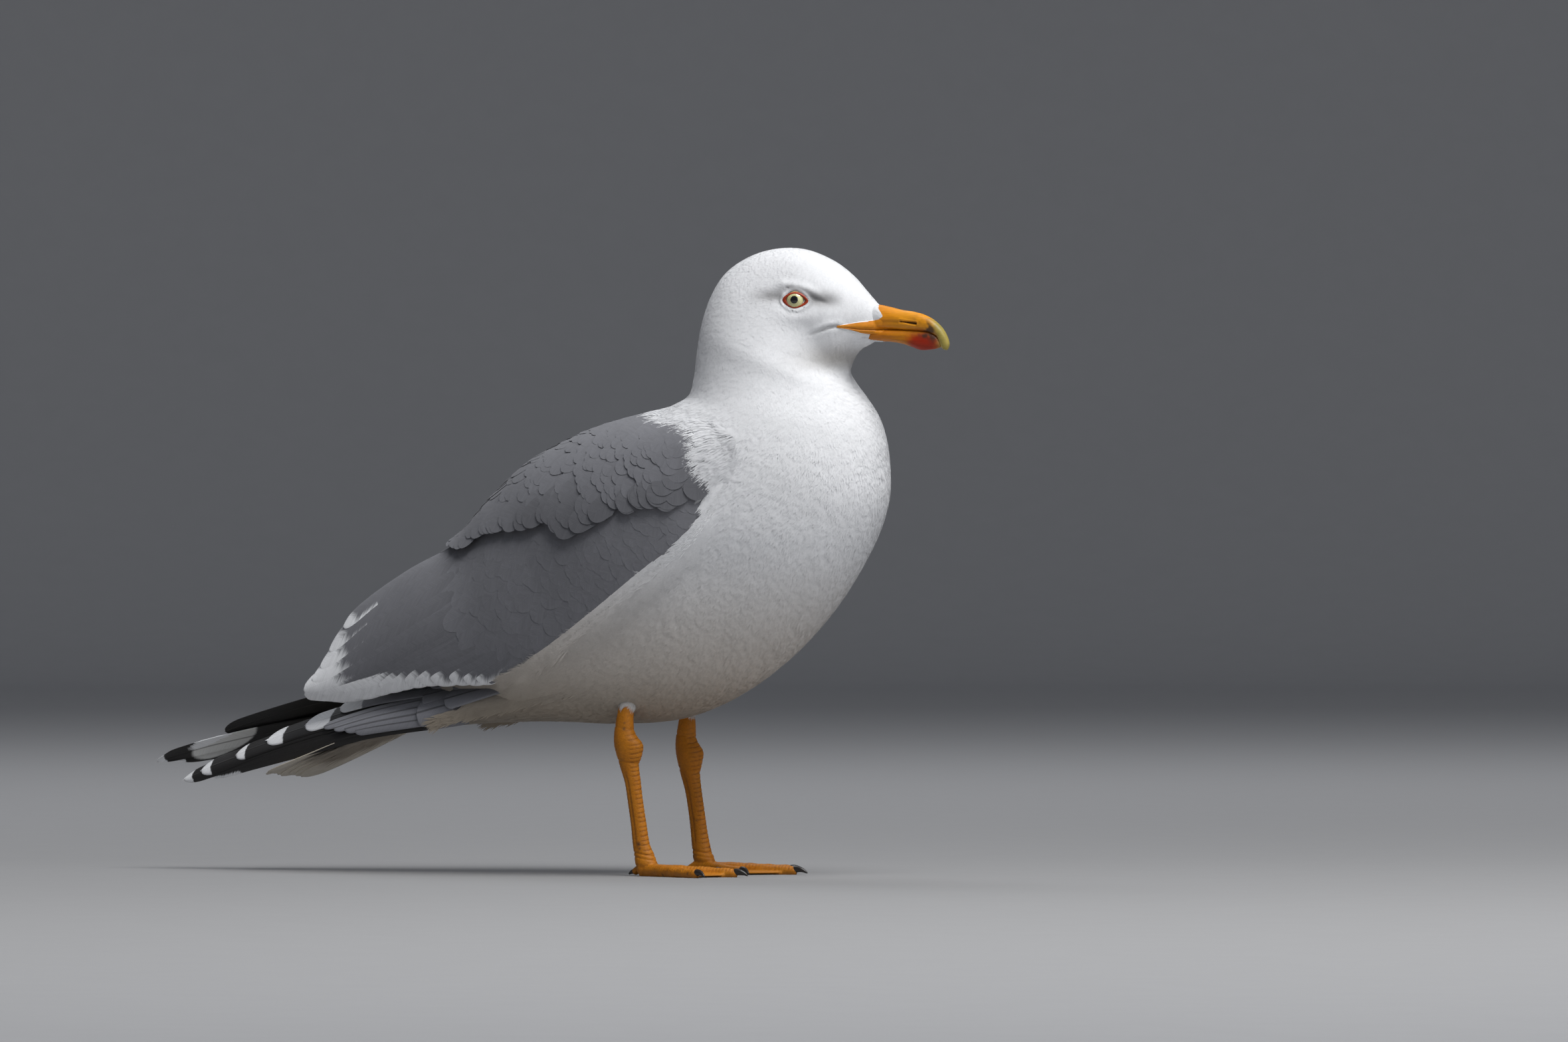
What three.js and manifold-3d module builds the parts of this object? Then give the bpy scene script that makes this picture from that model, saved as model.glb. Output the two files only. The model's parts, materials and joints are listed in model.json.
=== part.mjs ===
// A yellow-legged gull, adult, standing at rest, life size.
// Millimetres. +X is the way the bird faces, +Y its left side, +Z up.
// The floor is z = 0 and both feet stand on it.
import * as THREE from 'three';
import { mergeVertices } from 'three/addons/utils/BufferGeometryUtils.js';
import Module from 'manifold-3d';

const wasm = await Module();
wasm.setup();
const { Manifold, Mesh: SolidMesh } = wasm;

// ---------------------------------------------------------------- sizes, mm
const GAP = 0.3;            // clear space between neighbouring pieces
const LEG_Y = 33;           // half the distance between the two legs
const EYE_R = 7.5;          // eyeball radius
const EYE_X = 168.6, EYE_Y = 18.6, EYE_Z = 343.4;
const BILL_W = 7.4;         // half width of the bill where it leaves the face
const TAIL_ROOT = [-78, 101.5], TAIL_TIP = [-182, 61.5];   // x, z of the tail's middle line
const TAIL_THICK = 4.2, TAIL_HALF_ROOT = 20, TAIL_HALF_TIP = 35;
const BOW = 0.46, BOW_SPREAD = 0.36;                       // roundness of the folded wing, front and gain to the rear
const BULGE = 0.07, BULGE_FRONT = 0.15;                    // swell of the wing's side, all along and extra at the shoulder
const WEB_LOW = 0.8, WEB_HIGH = 2.3;                       // the web's two faces
const HEAD_CUT = { from: [103, 337], to: [196, 301] };     // nape to throat
const NECK_CUT = { from: [92, 285], to: [214, 258] };      // shoulder to breast

// Body outline in the mid plane: back point, belly point, half width, and how
// far the widest level sits toward the back (+) or the belly (-).
const BODY = [
  { d: [219.0, 331.0], v: [219.0, 331.0], w: 0.0, e: 0 },
  { d: [216.8, 338.4], v: [215.6, 322.4], w: 5.4, e: 0 },
  { d: [213.0, 342.2], v: [209.5, 317.6], w: 8.8, e: 0 },
  { d: [205.6, 349.6], v: [202.2, 314.2], w: 13.4, e: 0 },
  { d: [196.0, 359.2], v: [198.0, 310.4], w: 18.0, e: 0 },
  { d: [183.0, 368.0], v: [195.6, 306.8], w: 21.6, e: 0 },
  { d: [165.0, 374.4], v: [194.4, 303.4], w: 23.8, e: 0 },
  { d: [146.0, 374.4], v: [193.8, 300.2], w: 25.4, e: 0 },
  { d: [129.0, 369.2], v: [194.0, 297.2], w: 28.0, e: 0 },
  { d: [115.5, 360.0], v: [195.6, 293.8], w: 31.0, e: 0 },
  { d: [106.5, 346.0], v: [198.6, 290.2], w: 34.2, e: 0 },
  { d: [101.0, 329.0], v: [202.2, 286.4], w: 37.6, e: 0 },
  { d: [98.2, 312.0], v: [206.2, 281.8], w: 39.5, e: 0 },
  { d: [96.6, 297.0], v: [210.6, 275.2], w: 43.0, e: 0 },
  { d: [93.4, 287.0], v: [214.2, 266.0], w: 47.0, e: 0 },
  { d: [82.0, 281.0], v: [216.8, 254.0], w: 50.5, e: 0 },
  { d: [66.0, 274.2], v: [218.0, 240.0], w: 54.5, e: 0 },
  { d: [44.5, 263.4], v: [217.6, 226.0], w: 58.0, e: 0 },
  { d: [20.0, 252.0], v: [212.8, 209.0], w: 61.0, e: 0 },
  { d: [-4.0, 237.6], v: [203.0, 189.0], w: 63.0, e: 0 },
  { d: [-21.0, 219.0], v: [182.8, 159.0], w: 60.0, e: 0 },
  { d: [-32.0, 197.0], v: [155.6, 130.0], w: 56.5, e: 0 },
  { d: [-39.0, 173.0], v: [122.0, 106.2], w: 51.5, e: 0 },
  { d: [-46.0, 151.0], v: [87.5, 93.4], w: 45.5, e: 0 },
  { d: [-56.0, 133.0], v: [47.0, 90.6], w: 38.5, e: 0 },
  { d: [-69.0, 120.0], v: [5.0, 91.6], w: 32.5, e: 0 },
  { d: [-83.0, 111.0], v: [-34.0, 91.0], w: 26.0, e: 0 },
  { d: [-96.0, 104.0], v: [-64.0, 89.0], w: 19.0, e: 0 },
  { d: [-106.0, 98.5], v: [-88.0, 87.4], w: 11.5, e: 0 },
  { d: [-108.0, 93.5], v: [-108.0, 93.5], w: 0.0, e: 0 },
];

// Folded wing, near the back's mid line (t) down to its lower edge (b):
// x, y, z on the bird's left, and the shell's thickness.
const WING = [
  { t: [88.6, 3, 281.4], b: [139.5, 58, 226.0], h: 9 },
  { t: [55.0, 2.4, 274.0], b: [119.0, 65, 198.0], h: 10 },
  { t: [22.7, 2, 262.6], b: [87.2, 68, 173.0], h: 10 },
  { t: [-11.4, 2, 246.4], b: [52.2, 65, 148.0], h: 9 },
  { t: [-38.3, 1.8, 224.6], b: [15.9, 59, 126.0], h: 9 },
  { t: [-62.5, 2, 200.5], b: [-19.6, 51, 114.0], h: 8 },
  { t: [-98.0, 1.4, 181.5], b: [-61.8, 41, 112.0], h: 6 },
  { t: [-133.0, 1.4, 157.0], b: [-99.0, 32, 110.0], h: 5 },
  { t: [-158.5, 2.0, 127.0], b: [-146.0, 23, 108.0], h: 4 },
];

// Primaries of the closed wing, upper inner edge (t) and lower outer edge (b).
const HAND_RIGHT = [
  { t: [-72, 6, 116], b: [-62, 33, 93.5], h: 4.5 },
  { t: [-112, 4, 110], b: [-108, 30, 84.0], h: 4.5 },
  { t: [-150, 3, 99], b: [-150, 25, 73.5], h: 4.0 },
  { t: [-190, 3, 84], b: [-188, 19, 65.0], h: 3.2 },
  { t: [-220, 4, 70.5], b: [-219, 12, 58.6], h: 2.4 },
  { t: [-246, 5, 57.5], b: [-246, 8, 53.6], h: 1.6 },
];
const HAND_LEFT = [
  { t: [-72, 6, 116], b: [-62, 33, 93.5], h: 4.5 },
  { t: [-112, 4, 110], b: [-108, 30, 86.0], h: 4.5 },
  { t: [-150, 2, 103], b: [-150, 26, 79.0], h: 4.0 },
  { t: [-195, 2, 92], b: [-193, 20, 74.0], h: 3.2 },
  { t: [-230, 2, 81], b: [-229, 13, 69.5], h: 2.4 },
  { t: [-260, 2, 69.8], b: [-260, 6, 66.4], h: 1.6 },
];

// Bill: ridge, cutting edge and underside as x, z; half width along it.
const BILL_UPPER = [
  { d: [205.0, 333.0], v: [205.0, 333.0], w: 0 },
  { d: [206.0, 338.0], v: [206.0, 327.6], w: 5.0 },
  { d: [210.0, 340.6], v: [210.0, 326.2], w: 7.0 },
  { d: [214.5, 340.8], v: [214.0, 326.0], w: 7.3 },
  { d: [222.0, 339.4], v: [222.0, 325.9], w: 6.4 },
  { d: [230.0, 337.5], v: [230.0, 325.6], w: 5.5 },
  { d: [238.0, 336.3], v: [238.0, 325.2], w: 4.8 },
  { d: [245.0, 334.4], v: [244.5, 324.6], w: 4.3 },
  { d: [251.0, 331.3], v: [250.0, 323.4], w: 3.9 },
  { d: [256.4, 326.4], v: [254.6, 321.4], w: 3.3 },
  { d: [259.8, 320.6], v: [257.4, 318.6], w: 2.4 },
  { d: [260.6, 316.4], v: [258.8, 315.8], w: 1.4 },
  { d: [260.2, 313.7], v: [260.2, 313.7], w: 0 },
];
const BILL_LOWER = [
  { d: [203.0, 322.4], v: [203.0, 322.4], w: 0 },
  { d: [204.0, 325.0], v: [204.0, 320.2], w: 4.4 },
  { d: [209.0, 325.9], v: [209.0, 319.0], w: 6.2 },
  { d: [215.0, 325.7], v: [215.0, 318.9], w: 6.3 },
  { d: [223.0, 325.6], v: [223.0, 318.6], w: 5.4 },
  { d: [231.0, 325.3], v: [231.0, 317.3], w: 4.6 },
  { d: [237.0, 324.9], v: [237.0, 315.4], w: 4.1 },
  { d: [242.4, 324.5], v: [242.2, 313.8], w: 3.8 },
  { d: [248.0, 323.6], v: [247.6, 314.0], w: 3.4 },
  { d: [252.6, 321.9], v: [252.4, 314.6], w: 2.7 },
  { d: [255.4, 319.0], v: [255.2, 315.6], w: 1.6 },
  { d: [256.4, 316.8], v: [256.4, 316.8], w: 0 },
];

// Legs, top to foot: centre x and z, half depth (along x), half width (along y).
const LEG_RIGHT = [
  [66.0, 130, 0.0, 0.0], [66.0, 129, 5.0, 5.0], [65.2, 122, 7.0, 7.0], [64.4, 110, 6.4, 6.0],
  [63.6, 100, 5.0, 4.6], [62.8, 92, 5.5, 4.6], [62.9, 85, 6.7, 5.2], [65.4, 78.4, 9.2, 6.0],
  [65.9, 72, 8.0, 5.6], [65.9, 66.5, 6.2, 4.6], [68.2, 56, 5.1, 3.7], [69.9, 44.8, 4.9, 3.4],
  [72.2, 30.4, 5.0, 3.5], [73.9, 18.8, 5.4, 3.9], [76.2, 11.6, 6.6, 4.6], [77.4, 6, 6.4, 5.0],
  [77.6, 4, 0.0, 0.0],
];
const LEG_LEFT = [
  [74.5, 130, 0.0, 0.0], [74.5, 129, 5.0, 5.0], [74.0, 122, 7.0, 7.0], [73.4, 106, 6.4, 6.0],
  [72.8, 96, 5.0, 4.6], [72.6, 89.6, 5.5, 4.6], [72.2, 80.4, 6.7, 5.2], [74.4, 73.2, 8.8, 6.0],
  [74.7, 66, 7.6, 5.6], [74.9, 60, 6.2, 4.6], [77.0, 49.6, 5.3, 3.7], [79.4, 35, 5.2, 3.5],
  [80.8, 25, 5.4, 3.6], [82.6, 14, 6.0, 4.4], [84.2, 8, 6.4, 5.0], [84.5, 4, 0.0, 0.0],
];
const ANKLE_CUT = 9.0;                       // tarsus meets foot
const HOCK_RIGHT = 79.0, HOCK_LEFT = 74.0;   // tibia meets tarsus, in the hock

// Toes in plan, from the ankle: tip x, tip y (+ is outward from the body).
const TOES = {
  middle: [61, 1.5, 4.0, 2.7], outer: [47, 27, 3.8, 2.5], inner: [37, -24, 3.6, 2.5],
};
const CLAW_LEN = 8.5;

// ---------------------------------------------------------------- materials
const paint = (hex, roughness) =>
  new THREE.MeshStandardMaterial({ color: hex, roughness, metalness: 0 });
const WHITE = paint(0xf3f2ee, 0.85), GREY = paint(0x84858c, 0.8), BLACK = paint(0x1c1a19, 0.7);
const YELLOW = paint(0xe9a11f, 0.5), BILL = paint(0xeea51f, 0.35), HORN = paint(0x191613, 0.4);
const IRIS = paint(0xe6dc8c, 0.1);

// ---------------------------------------------------------------- helpers
// A closed solid from a sphere whose points are moved by place(u, v):
// u runs once around (0..1), v from one pole to the other (0..1).
function morph(around, along, place) {
  const geometry = new THREE.SphereGeometry(1, around, along);
  const uv = geometry.attributes.uv, position = geometry.attributes.position;
  const target = new THREE.Vector3();
  for (let i = 0; i < position.count; i++) {
    const v = 1 - uv.getY(i);
    const u = v < 1e-9 || v > 1 - 1e-9 ? 0 : uv.getX(i);
    place(u, v, target);
    position.setXYZ(i, target.x, target.y, target.z);
  }
  return solid(geometry);
}

function solid(geometry) {
  geometry.deleteAttribute('normal');
  geometry.deleteAttribute('uv');
  let merged = mergeVertices(geometry, 1e-4);
  if (!merged.index) merged = mergeVertices(merged, 1e-4);
  const p = merged.attributes.position, raw = Array.from(merged.index.array);
  const index = [];
  for (let i = 0; i < raw.length; i += 3) {
    const [a, b, c] = [raw[i], raw[i + 1], raw[i + 2]];
    if (a !== b && b !== c && a !== c) index.push(a, b, c);
  }
  let volume = 0;
  for (let i = 0; i < index.length; i += 3) {
    const [a, b, c] = [index[i], index[i + 1], index[i + 2]];
    volume += p.getX(a) * (p.getY(b) * p.getZ(c) - p.getZ(b) * p.getY(c))
            + p.getY(a) * (p.getZ(b) * p.getX(c) - p.getX(b) * p.getZ(c))
            + p.getZ(a) * (p.getX(b) * p.getY(c) - p.getY(b) * p.getX(c));
  }
  if (volume < 0) for (let i = 0; i < index.length; i += 3) {
    const swap = index[i + 1]; index[i + 1] = index[i + 2]; index[i + 2] = swap;
  }
  return new Manifold(new SolidMesh({
    numProp: 3, vertProperties: new Float32Array(p.array), triVerts: new Uint32Array(index),
  }));
}

const curve = points => new THREE.CatmullRomCurve3(points, false, 'centripetal');

// Egg-shaped sections spanned between a back line and a belly line.
// power < 1 squares the section, > 1 pinches it; grow pushes the surface out.
function spanned(table, around, along, { power = 1, grow = 0, y = 0 } = {}) {
  const back = curve(table.map(s => new THREE.Vector3(s.d[0], s.w, s.d[1])));
  const belly = curve(table.map(s => new THREE.Vector3(s.v[0], s.e ?? 0, s.v[1])));
  return morph(around, along, (u, v, out) => {
    const d = back.getPoint(v), b = belly.getPoint(v);
    const angle = u * 2 * Math.PI, c = Math.cos(angle), s = Math.sin(angle);
    const half = Math.max(d.y, 0);
    const length = Math.hypot(d.x - b.x, d.z - b.z) || 1;
    const reach = 0.5 * c * (1 + 2 * grow / length);
    const side = Math.sign(s) * Math.pow(Math.abs(s), power) * (1 + b.y * c);
    out.set((d.x + b.x) / 2 + (d.x - b.x) * reach,
      y + (half + (half > 0.5 ? grow : 0)) * side,
      (d.z + b.z) / 2 + (d.z - b.z) * reach);
  });
}

// A curved shell between an upper inner edge and a lower outer edge, closed
// round at both ends. side is +1 for the left wing, -1 for the right.
function shell(table, side, around, along, round, bow) {
  const upper = curve(table.map(s => new THREE.Vector3(s.t[0], s.t[1], s.t[2])));
  const lower = curve(table.map(s => new THREE.Vector3(s.b[0], s.b[1], s.b[2])));
  const depth = curve(table.map((s, i) => new THREE.Vector3(i * 10, s.h, 0)));
  return morph(around, along, (u, v, out) => {
    const t = upper.getPoint(v), b = lower.getPoint(v), h = depth.getPoint(v).y;
    const end = v < round ? 1 - v / round : v > 1 - round ? 1 - (1 - v) / round : 0;
    const open = Math.sqrt(Math.max(0, 1 - end * end));
    const outside = u < 0.5, k = outside ? u * 2 : 2 - u * 2;      // 0 at top, 1 at lower edge
    const fat = Math.pow(Math.sin(Math.PI * k), 0.45) * h * (outside ? 0 : 1);
    const roof = bow + BOW_SPREAD * v;                            // fuller at the shoulder
    const lift = Math.pow(Math.sin(Math.PI * k / 2), roof);
    const span = 0.5 + (k - 0.5) * (0.25 + 0.75 * open);
    const x = t.x + (b.x - t.x) * span, z = t.z + (b.z - t.z) * span;
    const y = t.y + (b.y - t.y) * Math.pow(Math.sin(Math.PI * span / 2), roof)
      + (b.y - t.y) * (BULGE + BULGE_FRONT * Math.max(0, 1 - v / 0.42)) * Math.sin(Math.PI * span);
    const lean = Math.min(1, Math.max(0, (b.y - t.y) / 60));
    out.set(x, side * Math.max(0.8, y - fat * open * (0.45 + 0.55 * lift)),
      z - fat * open * (1 - lift) * (0.5 + 0.4 * lean));
  });
}

// Round limb through centres with two half sizes.
function limb(table, y, around, along, grow = 0) {
  const centre = curve(table.map(s => new THREE.Vector3(s[0], y, s[1])));
  const girth = curve(table.map((s, i) => new THREE.Vector3(s[2], s[3], i * 10)));
  return morph(around, along, (u, v, out) => {
    const c = centre.getPoint(v), g = girth.getPoint(v), a = u * 2 * Math.PI;
    const rx = Math.max(g.x, 0), ry = Math.max(g.y, 0);
    out.set(c.x + (rx + (rx > 0.2 ? grow : 0)) * Math.cos(a),
      c.y + (ry + (ry > 0.2 ? grow : 0)) * Math.sin(a), c.z);
  });
}

// Tapered finger from a to b with radii ra, rb, rounded ends.
function finger(a, b, ra, rb, grow = 0, sag = 0) {
  const from = new THREE.Vector3(...a), to = new THREE.Vector3(...b);
  const along = to.clone().sub(from), length = along.length();
  along.normalize();
  const up = new THREE.Vector3(0, 0, 1), across = new THREE.Vector3().crossVectors(up, along).normalize();
  const top = new THREE.Vector3().crossVectors(along, across).normalize();
  return morph(8, 6, (u, v, out) => {
    const s = (1 - Math.cos(Math.PI * v)) / 2, ring = Math.sin(Math.PI * v);
    const body = ring < 0.55 ? Math.sqrt(Math.max(0, 1 - Math.pow(1 - ring / 0.55, 2))) : 1;
    const r = (ra + (rb - ra) * s + grow) * body, w = u * 2 * Math.PI;
    out.copy(from).addScaledVector(along, s * length + grow * (2 * s - 1))
      .addScaledVector(across, r * Math.cos(w)).addScaledVector(top, r * Math.sin(w));
    out.z -= sag * s * s;
  });
}

function cutBetween(body, cut, keep) {
  const dx = cut.to[0] - cut.from[0], dz = cut.to[1] - cut.from[1], n = Math.hypot(dx, dz);
  const normal = [-dz / n * keep, 0, dx / n * keep];            // keep = +1 is the upper side
  const offset = normal[0] * cut.from[0] + normal[2] * cut.from[1];
  return body.trimByPlane(normal, offset + GAP / 2);
}

const group = new THREE.Group();
group.name = 'yellow_legged_gull';
const shelf = [];
function add(name, body, material) {
  const mesh = body.simplify(0.06).getMesh();
  const geometry = new THREE.BufferGeometry();
  const flat = new Float32Array(mesh.vertProperties.length / mesh.numProp * 3);
  for (let i = 0; i < flat.length / 3; i++) for (let k = 0; k < 3; k++)
    flat[i * 3 + k] = mesh.vertProperties[i * mesh.numProp + k];
  geometry.setAttribute('position', new THREE.BufferAttribute(flat, 3));
  geometry.setIndex(new THREE.BufferAttribute(new Uint32Array(mesh.triVerts), 1));
  geometry.computeVertexNormals();
  const piece = new THREE.Mesh(geometry, material);
  piece.name = name;
  group.add(piece);
  shelf.push(piece);
}

// ---------------------------------------------------------------- head, neck, trunk
const bodySolid = spanned(BODY, 24, 39, { power: 0.94 });
const bodyGrown = spanned(BODY.map((s, i) => i < BODY.length - 1 ? s : {
  d: [s.d[0] - 1.6, s.d[1] - 0.4], v: [s.v[0] - 1.6, s.v[1] - 0.4], w: 0, e: 0,
}), 24, 39, { power: 0.94, grow: GAP }).add(bodySolid);

const billUpper = spanned(BILL_UPPER, 14, 14, { power: 0.8 });
const billLower = spanned(BILL_LOWER, 14, 12, { power: 0.8 });
const billRoom = Manifold.union(
  spanned(BILL_UPPER, 14, 14, { power: 0.8, grow: GAP }),
  spanned(BILL_LOWER, 14, 12, { power: 0.8, grow: GAP }));

const eyeball = side => Manifold.sphere(EYE_R, 16).translate([EYE_X, side * EYE_Y, EYE_Z]);
const socket = side => Manifold.sphere(EYE_R + GAP, 16).translate([EYE_X, side * EYE_Y, EYE_Z]);

const head = cutBetween(bodySolid, HEAD_CUT, 1)
  .subtract(billRoom).subtract(socket(1)).subtract(socket(-1));
const neck = cutBetween(cutBetween(bodySolid, HEAD_CUT, -1), NECK_CUT, 1);

const legRight = limb(LEG_RIGHT, -LEG_Y, 12, 22), legLeft = limb(LEG_LEFT, LEG_Y, 12, 22);
const legRoom = Manifold.union(
  limb(LEG_RIGHT, -LEG_Y, 12, 22, GAP), limb(LEG_LEFT, LEG_Y, 12, 22, GAP));

// ---------------------------------------------------------------- tail
const tailLength = Math.hypot(TAIL_ROOT[0] - TAIL_TIP[0], TAIL_ROOT[1] - TAIL_TIP[1]);
const tailSlope = Math.atan2(TAIL_ROOT[1] - TAIL_TIP[1], TAIL_ROOT[0] - TAIL_TIP[0]);
function tailBlade(grow) {
  const outline = new THREE.Shape();
  const g = grow;
  outline.moveTo(g, -TAIL_HALF_ROOT - g);
  outline.lineTo(g, TAIL_HALF_ROOT + g);
  outline.lineTo(-tailLength + 9, TAIL_HALF_TIP + g);
  outline.quadraticCurveTo(-tailLength - g, TAIL_HALF_TIP + g, -tailLength - g, TAIL_HALF_TIP - 12);
  outline.lineTo(-tailLength - 1.5 - g, 0);
  outline.lineTo(-tailLength - g, -TAIL_HALF_TIP + 12);
  outline.quadraticCurveTo(-tailLength - g, -TAIL_HALF_TIP - g, -tailLength + 9, -TAIL_HALF_TIP - g);
  outline.closePath();
  const geometry = new THREE.ExtrudeGeometry(outline, {
    depth: TAIL_THICK + 2 * g - 2, bevelEnabled: true, bevelThickness: 1, bevelSize: 1,
    bevelSegments: 1, curveSegments: 5, steps: 1,
  });
  geometry.translate(0, 0, -(TAIL_THICK + 2 * g - 2) / 2);
  geometry.rotateY(-tailSlope);
  geometry.translate(TAIL_ROOT[0], 0, TAIL_ROOT[1]);
  return solid(geometry);
}
const tail = tailBlade(0).subtract(bodyGrown);
const tailRoom = tailBlade(GAP);

const trunk = cutBetween(bodySolid, NECK_CUT, -1).subtract(legRoom);

// ---------------------------------------------------------------- wings
const wingSolid = side => shell(WING, side, 16, 20, 0.07, BOW);
const handSolid = (table, side) => shell(table, side, 10, 12, 0.06, 1.1);
const bodyRoom = bodyGrown;
const wing = side => wingSolid(side).subtract(bodyRoom).subtract(tailRoom);
const hand = (table, side) => handSolid(table, side).subtract(bodyRoom).subtract(tailRoom)
  .subtract(wingRoom(side));
function wingRoom(side) {
  const grown = WING.map(s => ({
    t: [s.t[0] - 0.2, s.t[1], s.t[2] + 0.4], b: [s.b[0], s.b[1] + 0.4, s.b[2] - 0.4], h: s.h + 1.0,
  }));
  return shell(grown, side, 16, 20, 0.07, BOW);
}

// ---------------------------------------------------------------- feet
function foot(ankle, side) {
  const [ax, az] = ankle, ay = side * LEG_Y;
  const tip = name => {
    const [dx, dy] = TOES[name];
    return [ax + dx, ay + side * dy];
  };
  let toes = [];
  const claws = {}, rooms = [];
  for (const name of ['middle', 'outer', 'inner']) {
    const [tx, ty] = tip(name), [, , r0, r1] = TOES[name];
    toes.push(finger([ax - 2, ay, 3.4], [tx, ty, 2.1], r0, r1));
    const dx = tx - ax, dy = ty - ay, n = Math.hypot(dx, dy);
    const from = [tx - dx / n * 2.6, ty - dy / n * 2.6, 3.0];
    const to = [tx + dx / n * (CLAW_LEN - 2), ty + dy / n * (CLAW_LEN - 2), 2.4];
    claws[name] = finger(from, to, 1.9, 0.75, 0, 1.2);
    rooms.push(finger(from, to, 1.9, 0.75, GAP, 1.2));
  }
  // short hind toe, from the heel down to the floor
  toes.push(finger([ax - 1, ay - side * 1, 7.6], [ax - 10.5, ay - side * 3.6, 1.5], 2.9, 2.2));
  const hindFrom = [ax - 9.6, ay - side * 3.4, 2.6], hindTo = [ax - 14, ay - side * 4.4, 1.7];
  claws.hind = finger(hindFrom, hindTo, 1.4, 0.6, 0, 0.6);
  rooms.push(finger(hindFrom, hindTo, 1.4, 0.6, GAP, 0.6));
  // pad under the joint
  toes.push(finger([ax - 6, ay, 4.6], [ax + 8, ay, 4.2], 5.2, 5.0));
  // web, hollowed along its front edge
  const web = new THREE.Shape();
  const m = tip('middle'), o = tip('outer'), i = tip('inner');
  const back = (p, k) => [ax + (p[0] - ax) * k, ay + (p[1] - ay) * k];
  const mm = back(m, 0.93), oo = back(o, 0.95), ii = back(i, 0.95);
  const hollow = (p, q) => [
    ax + ((p[0] + q[0]) / 2 - ax) * 0.9, ay + ((p[1] + q[1]) / 2 - ay) * 0.9];
  web.moveTo(ax - 2, ay);
  web.lineTo(oo[0], oo[1]);
  web.quadraticCurveTo(...hollow(oo, mm), mm[0], mm[1]);
  web.quadraticCurveTo(...hollow(mm, ii), ii[0], ii[1]);
  web.closePath();
  const sheet = new THREE.ExtrudeGeometry(web, {
    depth: WEB_HIGH - WEB_LOW, bevelEnabled: false, curveSegments: 5, steps: 1,
  });
  sheet.translate(0, 0, WEB_LOW);
  const shin = limb(side > 0 ? LEG_LEFT : LEG_RIGHT, ay, 12, 22).trimByPlane([0, 0, -1], -ANKLE_CUT + GAP / 2);
  let body = Manifold.union([...toes, solid(sheet), shin]);
  body = body.trimByPlane([0, 0, 1], 0).trimByPlane([0, 0, -1], -(ANKLE_CUT - GAP / 2));
  for (const room of rooms) body = body.subtract(room);
  for (const name of Object.keys(claws)) claws[name] = claws[name].trimByPlane([0, 0, 1], 0.15);
  return { body, claws };
}
const footRight = foot([77.4, 6], -1), footLeft = foot([84.4, 6], 1);

// ---------------------------------------------------------------- assembly
add('head', head, WHITE);
add('neck', neck, WHITE);
add('trunk', trunk, WHITE);
add('tail', tail, WHITE);
add('wing_right', wing(-1), GREY);
add('wing_left', wing(1), GREY);
add('primaries_right', hand(HAND_RIGHT, -1), BLACK);
add('primaries_left', hand(HAND_LEFT, 1), BLACK);
add('bill_upper', billUpper.subtract(spanned(BILL_LOWER, 14, 12, { power: 0.8, grow: GAP })), BILL);
add('bill_lower', billLower, BILL);
add('eye_right', eyeball(-1), IRIS);
add('eye_left', eyeball(1), IRIS);
for (const [name, leg, hock, feet] of [
  ['right', legRight, HOCK_RIGHT, footRight], ['left', legLeft, HOCK_LEFT, footLeft]]) {
  add(`tibia_${name}`, leg.trimByPlane([0, 0, 1], hock + GAP / 2), YELLOW);
  add(`tarsus_${name}`, leg.trimByPlane([0, 0, -1], -(hock - GAP / 2))
    .trimByPlane([0, 0, 1], ANKLE_CUT + GAP / 2), YELLOW);
  add(`foot_${name}`, feet.body, YELLOW);
  for (const claw of ['inner', 'middle', 'outer', 'hind'])
    add(`claw_${claw}_${name}`, feet.claws[claw], HORN);
}

// Origin at the middle of the footprint, on the floor.
const box = new THREE.Box3();
for (const piece of shelf) box.union(new THREE.Box3().setFromBufferAttribute(piece.geometry.attributes.position));
const shiftX = -(box.min.x + box.max.x) / 2, shiftY = -(box.min.y + box.max.y) / 2, shiftZ = -box.min.z;
for (const piece of shelf) piece.geometry.translate(shiftX, shiftY, shiftZ);

export default group;
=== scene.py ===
# A yellow-legged gull, adult, standing at rest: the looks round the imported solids.
import json
import math

import bpy
import numpy as np
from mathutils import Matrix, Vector, kdtree

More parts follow.
